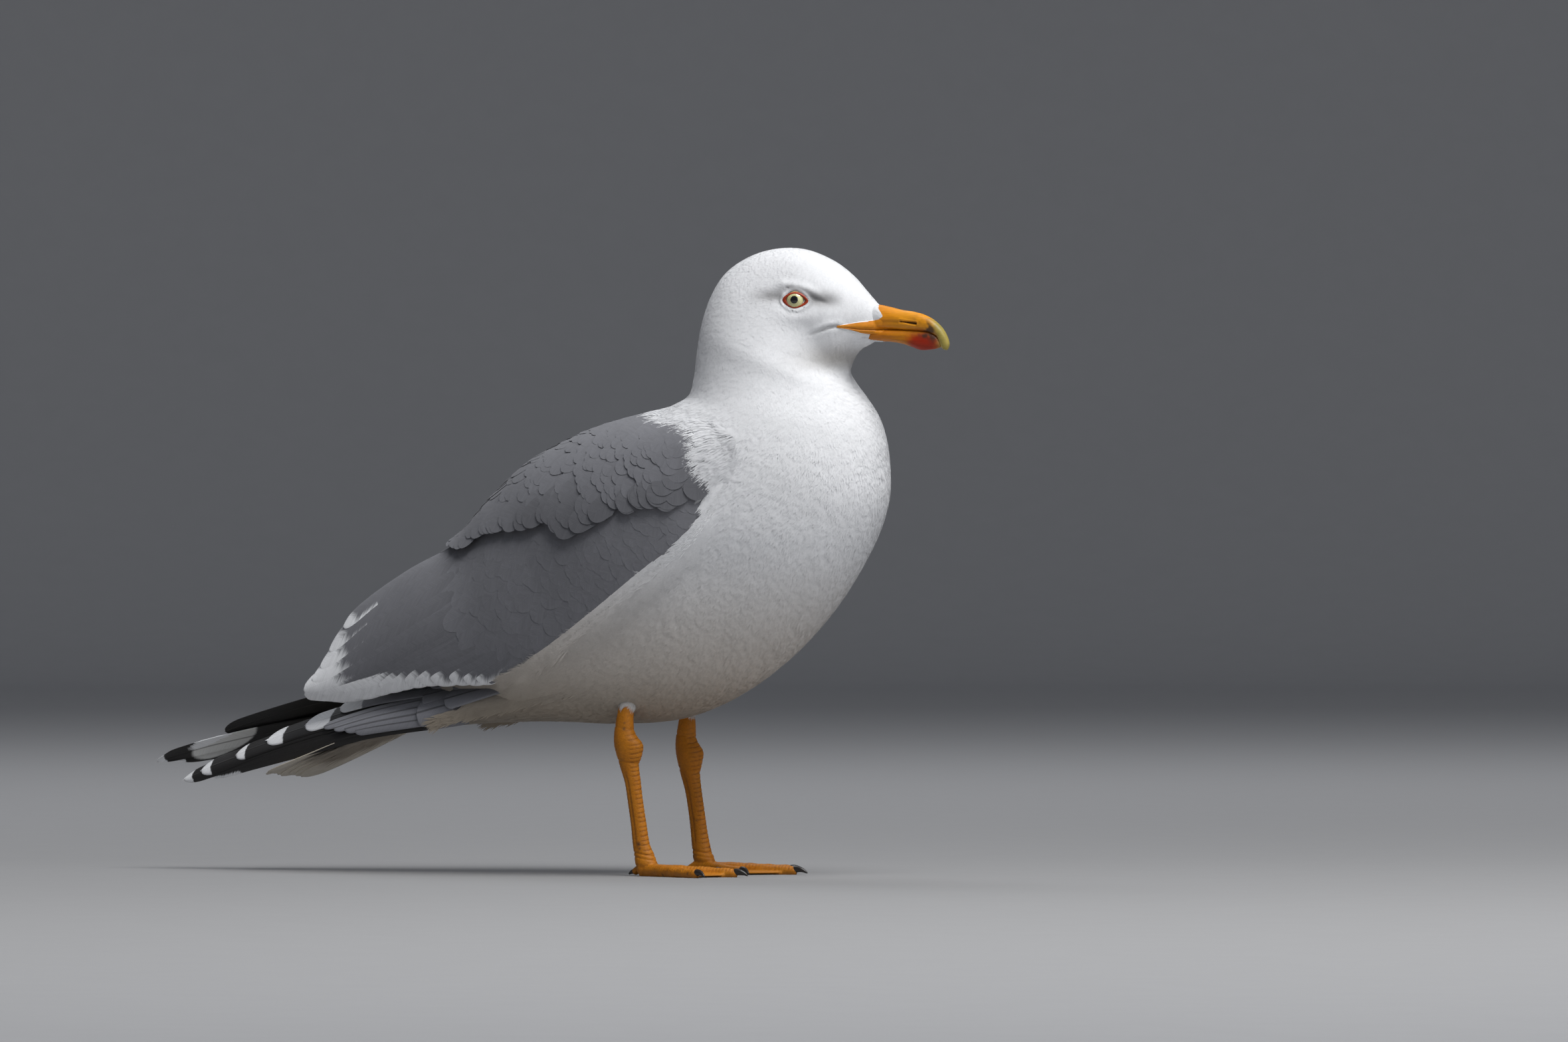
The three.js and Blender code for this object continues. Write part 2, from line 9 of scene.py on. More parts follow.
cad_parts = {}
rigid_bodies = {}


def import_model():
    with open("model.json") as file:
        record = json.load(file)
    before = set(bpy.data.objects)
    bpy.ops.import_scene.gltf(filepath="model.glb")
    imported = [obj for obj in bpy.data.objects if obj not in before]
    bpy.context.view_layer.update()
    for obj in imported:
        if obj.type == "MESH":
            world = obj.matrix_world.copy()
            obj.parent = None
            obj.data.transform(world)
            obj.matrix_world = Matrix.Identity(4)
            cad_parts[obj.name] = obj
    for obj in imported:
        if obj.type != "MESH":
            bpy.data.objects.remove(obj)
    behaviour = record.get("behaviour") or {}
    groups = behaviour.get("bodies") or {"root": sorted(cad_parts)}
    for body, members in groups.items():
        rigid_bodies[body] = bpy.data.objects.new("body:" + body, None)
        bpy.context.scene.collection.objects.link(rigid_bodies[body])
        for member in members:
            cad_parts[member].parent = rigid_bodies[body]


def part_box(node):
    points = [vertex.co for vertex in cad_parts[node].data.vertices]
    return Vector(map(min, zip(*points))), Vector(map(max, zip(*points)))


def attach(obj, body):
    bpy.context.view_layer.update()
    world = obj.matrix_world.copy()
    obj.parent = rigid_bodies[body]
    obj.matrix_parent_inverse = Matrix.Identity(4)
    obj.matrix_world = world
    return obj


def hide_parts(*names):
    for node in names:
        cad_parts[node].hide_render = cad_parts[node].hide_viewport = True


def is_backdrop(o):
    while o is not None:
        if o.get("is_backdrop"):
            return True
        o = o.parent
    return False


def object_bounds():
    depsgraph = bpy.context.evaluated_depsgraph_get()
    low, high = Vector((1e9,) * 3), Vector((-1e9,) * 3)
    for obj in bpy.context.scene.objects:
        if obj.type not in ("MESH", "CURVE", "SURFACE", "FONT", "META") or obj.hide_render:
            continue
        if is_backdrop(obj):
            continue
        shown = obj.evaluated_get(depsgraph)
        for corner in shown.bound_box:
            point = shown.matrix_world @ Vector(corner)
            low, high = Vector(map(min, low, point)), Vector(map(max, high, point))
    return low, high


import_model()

CAD_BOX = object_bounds()
_lo, _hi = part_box("eye_right")
SHIFT_X = (_lo.x + _hi.x) / 2 - 0.1686        # the tables below are written with the eye at x = 168.6 mm
MM = 0.001


def rng(seed):
    return np.random.default_rng(seed)


def norm(a):
    return a / np.maximum(np.linalg.norm(a, axis=-1, keepdims=True), 1e-9)


def smooth(lo, hi, x):
    t = np.clip((np.asarray(x, float) - lo) / (hi - lo), 0, 1)
    return t * t * (3 - 2 * t)


def curve1(points, x):
    """Straight pieces through (x, y) pairs."""
    p = np.asarray(points, float)
    return np.interp(x, p[:, 0], p[:, 1])


# ---------------------------------------------------------------- the bird's form, mm
# Same tables as the solids: back point, belly point, half width.
BODY = [
    ((219.0, 331.0), (219.0, 331.0), 0.0), ((216.8, 338.4), (215.6, 322.4), 5.4),
    ((213.0, 342.2), (209.5, 317.6), 8.8), ((205.6, 349.6), (202.2, 314.2), 13.4),
    ((196.0, 359.2), (198.0, 310.4), 18.0), ((183.0, 368.0), (195.6, 306.8), 21.6),
    ((165.0, 374.4), (194.4, 303.4), 23.8), ((146.0, 374.4), (193.8, 300.2), 25.4),
    ((129.0, 369.2), (194.0, 297.2), 28.0), ((115.5, 360.0), (195.6, 293.8), 31.0),
    ((106.5, 346.0), (198.6, 290.2), 34.2), ((101.0, 329.0), (202.2, 286.4), 37.6),
    ((98.2, 312.0), (206.2, 281.8), 39.5), ((96.6, 297.0), (210.6, 275.2), 43.0),
    ((93.4, 287.0), (214.2, 266.0), 47.0), ((82.0, 281.0), (216.8, 254.0), 50.5),
    ((66.0, 274.2), (218.0, 240.0), 54.5), ((44.5, 263.4), (217.6, 226.0), 58.0),
    ((20.0, 252.0), (212.8, 209.0), 61.0), ((-4.0, 237.6), (203.0, 189.0), 63.0),
    ((-21.0, 219.0), (182.8, 159.0), 60.0), ((-32.0, 197.0), (155.6, 131.2), 56.5),
    ((-39.0, 173.0), (122.0, 108.0), 51.5), ((-46.0, 151.0), (87.5, 94.4), 45.5),
    ((-56.0, 133.0), (47.0, 90.6), 38.5), ((-69.0, 120.0), (5.0, 91.6), 32.5),
    ((-83.0, 111.0), (-34.0, 91.0), 26.0), ((-96.0, 104.0), (-64.0, 89.0), 19.0),
    ((-106.0, 98.5), (-88.0, 87.4), 11.5), ((-108.0, 93.5), (-108.0, 93.5), 0.0),
]
# Folded wing: point near the back's mid line, point on the lower edge (left side).
WING = [
    ((88.6, 3, 281.4), (139.5, 58, 226.0)), ((55.0, 2.4, 274.0), (119.0, 65, 198.0)),
    ((22.7, 2, 262.6), (87.2, 68, 173.0)), ((-11.4, 2, 246.4), (52.2, 65, 148.0)),
    ((-38.3, 1.8, 224.6), (15.9, 59, 126.0)), ((-62.5, 2, 200.5), (-19.6, 51, 114.0)),
    ((-98.0, 1.4, 181.5), (-61.8, 41, 112.0)), ((-133.0, 1.4, 157.0), (-99.0, 32, 110.0)),
    ((-158.5, 2.0, 127.0), (-146.0, 23, 108.0)),
]
BOW, BOW_SPREAD, BULGE, BULGE_FRONT = 0.46, 0.36, 0.07, 0.15


def catmull(points, t):
    """Centripetal Catmull-Rom through rows of points, t 0..1 even in the index, straight on outside."""
    P = np.asarray(points, float)
    n = len(P)
    ext = np.vstack([2 * P[0] - P[1], P, 2 * P[-1] - P[-2]])
    t = np.asarray(t, float)
    inside = np.clip(t, 0, 1)
    p = inside * (n - 1)
    i = np.minimum(p.astype(int), n - 2)
    w = (p - i)[..., None]
    q0, q1, q2, q3 = ext[i], ext[i + 1], ext[i + 2], ext[i + 3]
    gap = lambda a, b: ((a - b) ** 2).sum(-1, keepdims=True) ** 0.25
    d0, d1, d2 = gap(q0, q1), gap(q1, q2), gap(q2, q3)
    d1 = np.where(d1 < 1e-4, 1.0, d1)
    d0 = np.where(d0 < 1e-4, d1, d0)
    d2 = np.where(d2 < 1e-4, d1, d2)
    m1 = ((q1 - q0) / d0 - (q2 - q0) / (d0 + d1) + (q2 - q1) / d1) * d1
    m2 = ((q2 - q1) / d1 - (q3 - q1) / (d1 + d2) + (q3 - q2) / d2) * d1
    c2 = -3 * q1 + 3 * q2 - 2 * m1 - m2
    c3 = 2 * q1 - 2 * q2 + m1 + m2
    out = q1 + m1 * w + c2 * w * w + c3 * w ** 3
    slope = (m1 + 2 * c2 * w + 3 * c3 * w * w) * (n - 1)
    return out + slope * (t - inside)[..., None]


def body_point(u, v):
    """u once around from the back (0) by the left side to the belly (0.5), v from bill to tail."""
    d = catmull([(a[0], w, a[1]) for a, b, w in BODY], v)
    b = catmull([(b[0], 0.0, b[1]) for a, b, w in BODY], v)
    c, s = np.cos(2 * np.pi * u), np.sin(2 * np.pi * u)
    side = np.sign(s) * np.abs(s) ** 0.94
    half = np.maximum(d[..., 1], 0)
    mid, reach = (d + b) / 2, (d - b) / 2
    return np.stack([mid[..., 0] + reach[..., 0] * c, half * side, mid[..., 2] + reach[..., 2] * c], -1)


def wing_point(k, v):
    """The left wing's outer face: k 0 near the back's mid line to 1 at the lower edge, v front to rear."""
    t = catmull([a for a, b in WING], v)
    b = catmull([b for a, b in WING], v)
    inner = np.clip(v, 0, 1)
    roof = BOW + BOW_SPREAD * inner
    s = np.sin(np.pi * k / 2)
    lift = np.sign(s) * np.abs(s) ** roof
    swell = (BULGE + BULGE_FRONT * np.maximum(0, 1 - inner / 0.42)) * np.sin(np.pi * k)
    wide = b[..., 1] - t[..., 1]
    return np.stack([t[..., 0] + (b[..., 0] - t[..., 0]) * k, t[..., 1] + wide * (lift + swell),
                     t[..., 2] + (b[..., 2] - t[..., 2]) * k], -1)


HAND_RIGHT = [
    ((-72, 6, 116), (-62, 33, 93.5)), ((-112, 4, 110), (-108, 30, 84.0)), ((-150, 3, 99), (-150, 25, 73.5)),
    ((-190, 3, 84), (-188, 19, 65.0)), ((-220, 4, 70.5), (-219, 12, 58.6)), ((-246, 5, 57.5), (-246, 8, 53.6)),
]
HAND_LEFT = [
    ((-72, 6, 119), (-62, 33, 93.5)), ((-112, 4, 116), (-108, 30, 86.0)), ((-150, 2, 110), (-150, 26, 79.0)),
    ((-195, 2, 96), (-193, 20, 74.0)), ((-230, 2, 83), (-229, 13, 69.5)), ((-260, 2, 70.8), (-260, 6, 66.4)),
]


def hand_point(table):
    def place(k, v):
        t = catmull([a for a, b in table], v)
        b = catmull([b for a, b in table], v)
        lift = np.sign(k) * np.abs(np.sin(np.pi * np.clip(k, -1, 1) / 2)) ** 1.1
        return np.stack([t[..., 0] + (b[..., 0] - t[..., 0]) * k, t[..., 1] + (b[..., 1] - t[..., 1]) * lift,
                         t[..., 2] + (b[..., 2] - t[..., 2]) * k], -1)
    return place


TAIL_ROOT, TAIL_TIP = (-78.0, 101.5), (-190.0, 58.0)
TAIL_HALF_ROOT, TAIL_HALF_TIP = 18.0, 28.0


# ---------------------------------------------------------------- the head's own folds
EYE = np.array([169.8, 18.6, 343.5])                    # eyeball centre, left side
EYE_R = 7.5
EYE_YAW, EYE_UP = math.radians(11.0), math.radians(1.5)
EYE_AXIS = np.array([math.sin(EYE_YAW) * math.cos(EYE_UP), math.cos(EYE_YAW) * math.cos(EYE_UP), math.sin(EYE_UP)])
EYE_E1 = norm(np.array([math.cos(EYE_YAW), -math.sin(EYE_YAW), 0.0]))      # toward the bill
EYE_E2 = np.cross(EYE_E1, EYE_AXIS); EYE_E2 = EYE_E2 * np.sign(EYE_E2[2])   # up


def eye_plane(P):
    """Coordinates about the eye, on a head whose two sides are alike: forward, up, out."""
    Q = np.array(P, float)
    Q[..., 1] = np.abs(Q[..., 1])
    D = Q - EYE
    return D @ EYE_E1, D @ EYE_E2, D @ EYE_AXIS


def lid_line(phi, inner):
    """Half size of the eye's opening, or of the bare ring round it, at an angle from straight ahead."""
    c, s = np.cos(phi), np.sin(phi)
    if inner:
        front, back, top, low = 5.7, 5.3, 3.6, 4.5
        power = 1.75
    else:
        front, back, top, low = 8.1, 7.6, 4.55, 4.95
        power = 1.6
    a = np.where(c > 0, front, back)
    b = np.where(s > 0, top, low)
    r = (np.abs(c / a) ** power + np.abs(s / b) ** power) ** (-1 / power)
    return r


def ring_gap(P):
    """mm outside the bare ring round the eye (negative inside it); large away from the eye."""
    e, f, d = eye_plane(P)
    f = f + 0.10 * np.maximum(e, 0)                      # the front corner hangs a little
    r = np.hypot(e, f)
    return np.where(d > -2, r - lid_line(np.arctan2(f, e), False), 50.0)


def segment_gap(P, a, b):
    """Distance in the side view from the straight line a-b, and how far along it."""
    a, b = np.array(a, float), np.array(b, float)
    d = b - a
    q = np.stack([P[..., 0], P[..., 2]], -1) - a
    t = np.clip((q @ d) / (d @ d), 0, 1)
    return np.linalg.norm(q - t[..., None] * d, axis=-1), t


CREASE = [((195.5, 327.8), (190.5, 326.6)), ((190.5, 326.6), (184.5, 324.2)), ((184.5, 324.2), (178.0, 321.4))]


def crease_gap(P):
    best, along = np.full(P.shape[:-1], 1e9), np.zeros(P.shape[:-1])
    for i, (a, b) in enumerate(CREASE):
        g, t = segment_gap(P, a, b)
        along = np.where(g < best, (i + t) / len(CREASE), along)
        best = np.minimum(best, g)
    return best, along


def face(P):
    """How far the head's surface stands out (+) or in (-) from its plain form, mm."""
    e, f, d = eye_plane(P)
    side = smooth(6, 14, np.abs(P[..., 1])) * smooth(98, 112, P[..., 0]) * smooth(285, 300, P[..., 2])
    gap = ring_gap(P)
    near = smooth(-14, -4, -np.abs(gap)) * side
    out = -0.75 * smooth(7.5, 0.5, gap) * side                                   # the eye sits in a shallow cup
    out = out + 0.55 * np.exp(-((gap - 1.5) / 1.1) ** 2) * side                  # rim of short feathers
    brow = np.exp(-((f - 8.2 + 0.20 * e + 0.012 * e * e) / 2.9) ** 2) * smooth(-15, -6, e) * smooth(22, 8, e)
    out = out + 1.15 * brow * side
    under = np.exp(-((f - 4.2 + 0.30 * e) / 1.6) ** 2) * smooth(5.0, 9.0, e) * smooth(22, 15, e)
    out = out - 0.7 * under * side
    lore = np.exp(-((f + 0.8 + 0.10 * (e - 16)) / 4.3) ** 2) * smooth(7, 13, e) * smooth(33, 20, e)
    out = out - 1.25 * lore * side                                               # hollow before the eye
    rear = np.exp(-((f - 1.2) / 3.6) ** 2) * smooth(-7, -11, e) * smooth(-26, -16, e)
    out = out - 0.75 * rear * side
    cheek = np.exp(-(((e - 4) / 13) ** 2 + ((f + 10.5) / 5.0) ** 2))
    out = out + 0.9 * cheek * side
    g, t = crease_gap(P)
    deep = np.interp(t, [0, 0.15, 0.6, 1.0], [0.5, 1.0, 0.8, 0.0])
    out = out - 1.1 * deep * np.exp(-(g / 0.85) ** 2) * side
    above = np.where(P[..., 2] > 321.4 + (P[..., 0] - 178) * 0.37, 1.0, 0.0)
    out = out + 0.5 * deep * np.exp(-((g - 2.6) / 1.7) ** 2) * side * (0.4 + 0.6 * above)
    ruff, _ = segment_gap(P, (104, 333), (196, 299))
    out = out - 0.5 * np.exp(-(ruff / 2.6) ** 2) * smooth(150, 185, P[..., 0])   # where the throat meets the neck
    return out


# ---------------------------------------------------------------- surfaces held as fine grids
class Sheet:
    def __init__(self, place, a, b, wrap=False, side=1, relief=None):
        (self.a0, self.a1, self.na), (self.b0, self.b1, self.nb) = a, b
        self.wrap, self.side = wrap, side
        A, B = np.meshgrid(np.linspace(*a), np.linspace(*b), indexing="ij")
        self.P = place(A, B)
        self.P[..., 1] *= side
        self.measure()
        if relief is not None:
            self.P = self.P + self.N * relief(self.P)[..., None]
            self.measure()

    def measure(self):
        da = (self.a1 - self.a0) / (self.na - 1)
        db = (self.b1 - self.b0) / (self.nb - 1)
        if self.wrap:
            body = self.P[:-1]
            ga = (np.roll(body, -1, 0) - np.roll(body, 1, 0)) / 2
            ga = np.concatenate([ga, ga[:1]])
        else:
            ga = np.gradient(self.P, axis=0)
        self.A, self.B = ga / da, np.gradient(self.P, axis=1) / db
        N = np.cross(self.A, self.B)
        middle = self.P.reshape(-1, 3).mean(0)
        if self.wrap:
            middle = self.P.mean(0, keepdims=True)
            out = (N * (self.P - middle)).sum(-1).mean()
        else:
            out = (N[..., 1] * self.side).mean() + 0.5 * N[..., 2].mean()
        self.N = norm(N * np.sign(out))

    def at(self, Q, *fields):
        fa = (Q[..., 0] - self.a0) / (self.a1 - self.a0)
        if self.wrap:
            fa = fa % 1.0
        fa = np.clip(fa, 0, 1) * (self.na - 1)
        fb = np.clip((Q[..., 1] - self.b0) / (self.b1 - self.b0), 0, 1) * (self.nb - 1)
        i = np.minimum(fa.astype(int), self.na - 2)
        j = np.minimum(fb.astype(int), self.nb - 2)
        x, y = (fa - i)[..., None], (fb - j)[..., None]
        out = []
        for name in fields:
            F = getattr(self, name)
            v = (F[i, j] * (1 - x) + F[i + 1, j] * x) * (1 - y) + (F[i, j + 1] * (1 - x) + F[i + 1, j + 1] * x) * y
            out.append(norm(v) if name == "N" else v)
        return out if len(out) > 1 else out[0]

    def step(self, Q, along, across, direction=(0.0, 1.0), twist=0.0):
        """Change of coordinates for a move of so many mm along the lie and across it."""
        A, B, N = self.at(Q, "A", "B", "N")
        T = norm(A * direction[0] + B * direction[1])
        C = np.cross(N, T)
        c, s = np.cos(twist), np.sin(twist)
        if np.ndim(twist):
            c, s = c[..., None], s[..., None]
        T, C = T * c + C * s, C * c - T * s
        move = T * np.asarray(along)[..., None] + C * np.asarray(across)[..., None]
        return solve(A, B, move)


def solve(A, B, move):
    aa, bb, ab = (A * A).sum(-1), (B * B).sum(-1), (A * B).sum(-1)
    ma, mb = (A * move).sum(-1), (B * move).sum(-1)
    det = np.maximum(aa * bb - ab * ab, 1e-6)
    return np.stack([(ma * bb - mb * ab) / det, (mb * aa - ma * ab) / det], -1)


BODY_SHEET = Sheet(body_point, (0.0, 1.0, 721), (0.0, 1.0, 1401), wrap=True, relief=face)
WINGS = {s: Sheet(wing_point, (0.0, 1.22, 300), (-0.12, 1.14, 520), side=s) for s in (1, -1)}
HANDS = {1: Sheet(hand_point(HAND_LEFT), (-0.5, 1.5, 200), (-0.45, 1.12, 330), side=1),
         -1: Sheet(hand_point(HAND_RIGHT), (-0.5, 1.5, 200), (-0.45, 1.12, 330), side=-1)}


# ---------------------------------------------------------------- meshes
def build(name, verts, quads=None, tris=None, normals=None, uv=None, colours=None, floats=None,
          material=None, smooth_faces=True):
    """One mesh piece from arrays. verts in mm; uv per vertex; colours {name: (n,3)}, floats {name: (n,)}."""
    verts = np.asarray(verts, np.float64).reshape(-1, 3)
    quads = np.zeros((0, 4), int) if quads is None else np.asarray(quads, int).reshape(-1, 4)
    tris = np.zeros((0, 3), int) if tris is None else np.asarray(tris, int).reshape(-1, 3)
    mesh = bpy.data.meshes.new(name)
    mesh.vertices.add(len(verts))
    placed = verts * MM
    placed[:, 0] += SHIFT_X
    mesh.vertices.foreach_set("co", placed.astype(np.float32).ravel())
    loops = np.concatenate([quads.ravel(), tris.ravel()])
    mesh.loops.add(len(loops))
    mesh.loops.foreach_set("vertex_index", loops.astype(np.int32))
    sizes = np.concatenate([np.full(len(quads), 4), np.full(len(tris), 3)])
    starts = np.concatenate([[0], np.cumsum(sizes)[:-1]]) if len(sizes) else np.zeros(0, int)
    mesh.polygons.add(len(sizes))
    mesh.polygons.foreach_set("loop_start", starts.astype(np.int32))
    mesh.polygons.foreach_set("loop_total", sizes.astype(np.int32))
    mesh.polygons.foreach_set("use_smooth", np.full(len(sizes), smooth_faces))
    mesh.update(calc_edges=True)
    if uv is not None:
        layer = mesh.uv_layers.new(name="OFBake")
        layer.data.foreach_set("uv", np.asarray(uv, np.float32)[loops].ravel())
    for key, value in (colours or {}).items():
        attribute = mesh.color_attributes.new(name=key, type="FLOAT_COLOR", domain="POINT")
        full = np.concatenate([np.clip(value, 0, 1), np.ones((len(verts), 1))], 1)
        attribute.data.foreach_set("color", full.astype(np.float32).ravel())
    for key, value in (floats or {}).items():
        attribute = mesh.attributes.new(name=key, type="FLOAT", domain="POINT")
        attribute.data.foreach_set("value", np.asarray(value, np.float32).ravel())
    mesh.validate(verbose=False, clean_customdata=False)
    if normals is not None:
        mesh.normals_split_custom_set_from_vertices(norm(np.asarray(normals, float).reshape(-1, 3)).tolist())
    piece = bpy.data.objects.new(name, mesh)
    bpy.context.scene.collection.objects.link(piece)
    if material is not None:
        mesh.materials.append(material)
    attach(piece, "root")
    return piece


def grid_quads(count, rows, cols, wrap=False):
    """Quads of count grids, each rows x cols, laid one after another."""
    i, j = np.meshgrid(np.arange(rows - 1), np.arange(cols if wrap else cols - 1), indexing="ij")
    k = (j + 1) % cols
    q = np.stack([i * cols + j, (i + 1) * cols + j, (i + 1) * cols + k, i * cols + k], -1).reshape(-1, 4)
    return (q[None] + (np.arange(count) * rows * cols)[:, None, None]).reshape(-1, 4)


def lay(sheet, p0, p1, half, rise, rows=4, cols=3, profile=None, camber=0.0, sweep=0.0, centre=None, stations=None, limit=None):
    """Blades lying on a sheet from p0 to p1. half: half width mm; rise(s): mm off the sheet, (n, rows) or (rows,)."""
    n = len(p0)
    s = np.linspace(0, 1, rows) if stations is None else np.asarray(stations, float)
    r = np.linspace(-1, 1, cols)
    P = p0[:, None] + (p1 - p0)[:, None] * s[None, :, None]
    A, B, N = sheet.at(P, "A", "B", "N")
    d = p1 - p0
    T = norm(A * d[:, None, :1] + B * d[:, None, 1:])
    C = np.cross(N, T)
    per_mm = solve(A, B, C)
    width = (profile if profile is not None else 1 - 0.9 * s ** 2)
    width = np.broadcast_to(np.asarray(width, float), (n, len(s))) * np.asarray(half, float).reshape(-1, 1)
    bow = np.asarray(sweep, float).reshape(-1, 1) * (s * s)[None]
    if centre is not None:
        bow = bow + centre
    off = width[..., None] * r + bow[..., None]
    Q = P[:, :, None] + per_mm[:, :, None] * off[..., None]
    if limit is not None:
        Q[..., 0] = np.minimum(Q[..., 0], limit)
    X, M = sheet.at(Q, "P", "N")
    up = np.broadcast_to(np.asarray(rise, float), (n, len(s)))
    up = up[..., None] + np.asarray(camber, float).reshape(-1, 1, 1) * (1 - r * r)
    X = X + M * up[..., None]
    S = np.broadcast_to(s[None, :, None], X.shape[:-1])
    R = np.broadcast_to(r[None, None], X.shape[:-1])
    return X, M, S, R


def scatter(sheet, spacing, keep, seed, over=2.6):
    """Points spread evenly by real area. spacing(P) mm; keep(P, Q) bool. Returns coordinates (n, 2)."""
    g = rng(seed)
    area = np.linalg.norm(np.cross(sheet.A, sheet.B), axis=-1)
    gap = np.maximum(spacing(sheet.P), 0.3)
    weight = area / gap ** 2
    ca = (sheet.a1 - sheet.a0) / (sheet.na - 1) * (sheet.b1 - sheet.b0) / (sheet.nb - 1)
    cell = weight[:-1, :-1] * ca
    A, B = np.meshgrid(np.linspace(sheet.a0, sheet.a1, sheet.na)[:-1], np.linspace(sheet.b0, sheet.b1, sheet.nb)[:-1], indexing="ij")
    ok = keep(sheet.P[:-1, :-1], np.stack([A, B], -1))
    cell = np.where(ok, cell, 0).ravel()
    total = cell.sum()
    count = int(total * over)
    pick = np.searchsorted(np.cumsum(cell), g.random(count) * total)
    pick = np.minimum(pick, len(cell) - 1)
    i, j = np.divmod(pick, sheet.nb - 1)
    Q = np.stack([sheet.a0 + (i + g.random(count)) * (sheet.a1 - sheet.a0) / (sheet.na - 1),
                  sheet.b0 + (j + g.random(count)) * (sheet.b1 - sheet.b0) / (sheet.nb - 1)], -1)
    P = sheet.at(Q, "P")
    near = np.maximum(spacing(P), 0.3) * 0.78
    big = float(near.max())
    cells, kept = {}, []
    keys = np.floor(P / big).astype(int).tolist()
    pts, gaps = P.tolist(), (near ** 2).tolist()
    around = [(x, y, z) for x in (-1, 0, 1) for y in (-1, 0, 1) for z in (-1, 0, 1)]
    for n in range(count):
        kx, ky, kz = keys[n]
        px, py, pz = pts[n]
        lim = gaps[n]
        clear = True
        for ax, ay, az in around:
            for qx, qy, qz in cells.get((kx + ax, ky + ay, kz + az), ()):
                if (px - qx) ** 2 + (py - qy) ** 2 + (pz - qz) ** 2 < lim:
                    clear = False
                    break
            if not clear:
                break
        if clear:
            cells.setdefault((kx, ky, kz), []).append((px, py, pz))
            kept.append(n)
    return Q[kept]


def tree_of(points):
    tree = kdtree.KDTree(len(points))
    for i, p in enumerate(points.tolist()):
        tree.insert(p, i)
    tree.balance()
    return tree


class WingSide:
    """Where a point lies against one folded wing: its place on the wing and how far outside it."""
    def __init__(self, side):
        sheet = WINGS[side]
        self.sheet = sheet
        self.P = sheet.P[::3, ::3].reshape(-1, 3)
        self.N = sheet.N[::3, ::3].reshape(-1, 3)
        A, B = np.meshgrid(np.linspace(sheet.a0, sheet.a1, sheet.na)[::3],
                           np.linspace(sheet.b0, sheet.b1, sheet.nb)[::3], indexing="ij")
        self.Q = np.stack([A, B], -1).reshape(-1, 2)
        self.tree = tree_of(self.P)

    def find(self, points):
        idx = np.array([self.tree.find(p)[1] for p in points.tolist()])
        D = points - self.P[idx]
        out = (D * self.N[idx]).sum(-1)
        return self.Q[idx], out, np.linalg.norm(D - out[:, None] * self.N[idx], axis=-1), self.N[idx]


WING_AT = {s: WingSide(s) for s in (1, -1)}


def wing_front(k):
    """Where the grey of the back and wing begins, along the wing, for each height on it."""
    return curve1([(-0.15, 0.125), (0.0, 0.107), (0.12, 0.052), (0.24, 0.006), (0.33, -0.020), (0.48, -0.014), (0.60, -0.002),
                   (0.66, 0.008), (0.70, 0.040), (0.74, 0.055), (0.79, 0.035), (0.86, 0.006), (0.95, 0.012), (1.05, 0.03)], k)


def scapular_edge(k):
    """Rear tips of the shoulder feathers, along the wing, for each height on it."""
    return curve1([(-0.15, 0.68), (-0.05, 0.668), (0.03, 0.644), (0.10, 0.59), (0.16, 0.543), (0.243, 0.462), (0.308, 0.413),
                   (0.376, 0.361), (0.426, 0.342), (0.516, 0.318), (0.571, 0.246), (0.599, 0.181), (0.689, 0.116),
                   (0.822, 0.050), (0.86, 0.02)], k)


# ---------------------------------------------------------------- colours, linear
WHITE = np.array([0.86, 0.868, 0.885])
WARM_BELLY_SHADE = np.array([0.52, 0.445, 0.355])
SHADE = np.array([0.30, 0.245, 0.175])
DUSK_AND_SHADE_GREY = np.array([0.29, 0.285, 0.285])
GREY = np.array([0.166, 0.168, 0.184])
GREY_PALE = np.array([0.262, 0.266, 0.286])
GREY_DEEP = np.array([0.112, 0.114, 0.125])


def white_marks(P):
    """The white plumage's tint: painted shade before, above and behind the eye and along the gape's crease, in part a
    faint dusky tone of the feathers; painted shade on the throat; painted warm shade turning the belly buff and darker
    towards the bottom.
    """
    e, f, d = eye_plane(P)
    side = smooth(5, 11, np.abs(P[..., 1])) * smooth(285, 300, P[..., 2]) * smooth(98, 112, P[..., 0])
    # painted shade before, behind and above the eye (under the brow) and along the gape's crease, in part a faint dusky
    # tone of the feathers
    fore = np.exp(-((f - 0.2 + 0.09 * (e - 16)) / 4.5) ** 2) * smooth(6.5, 11, e) * smooth(31, 17, e)
    rear = np.exp(-((f - 2.4) / 4.0) ** 2) * smooth(-6.5, -9.5, e) * smooth(-34, -14, e)
    over = np.exp(-((f - 7.0 + 0.22 * e) / 1.5) ** 2) * smooth(-8, -2, e) * smooth(12, 6, e)
    g, t = crease_gap(P)
    crease = np.exp(-(g / 1.1) ** 2) * np.interp(t, [0, 0.4, 1.0], [1.0, 0.8, 0.0])
    eye_dusk_and_shade = np.clip(0.88 * fore + 0.76 * rear + 0.55 * over + 0.60 * crease, 0, 0.88) * side
    # the throat, a shadowed warm grey that stops at the edge of the head's feathers
    x, z = P[..., 0], P[..., 2]
    throat = np.exp(-((x - 193) / 17) ** 2 - ((z - 309) / 8.0) ** 2) * smooth(299.5, 303.5, z + 0.06 * (190 - x)) * 0.76
    # painted shade: towards the belly the white turns a warm buff, and lower still a dark warm brown
    low = smooth(205, 110, z)
    under = low * 0.70
    tint = WHITE * (1 - under[..., None]) + WARM_BELLY_SHADE * under[..., None]
    deep = 0.74 * smooth(130, 90, z)
    tint = tint * (1 - deep[..., None]) + SHADE * deep[..., None]
    tint = tint * (1 - throat[..., None]) + np.array([0.33, 0.31, 0.285]) * throat[..., None]
    return tint * (1 - eye_dusk_and_shade[..., None]) + DUSK_AND_SHADE_GREY * eye_dusk_and_shade[..., None]


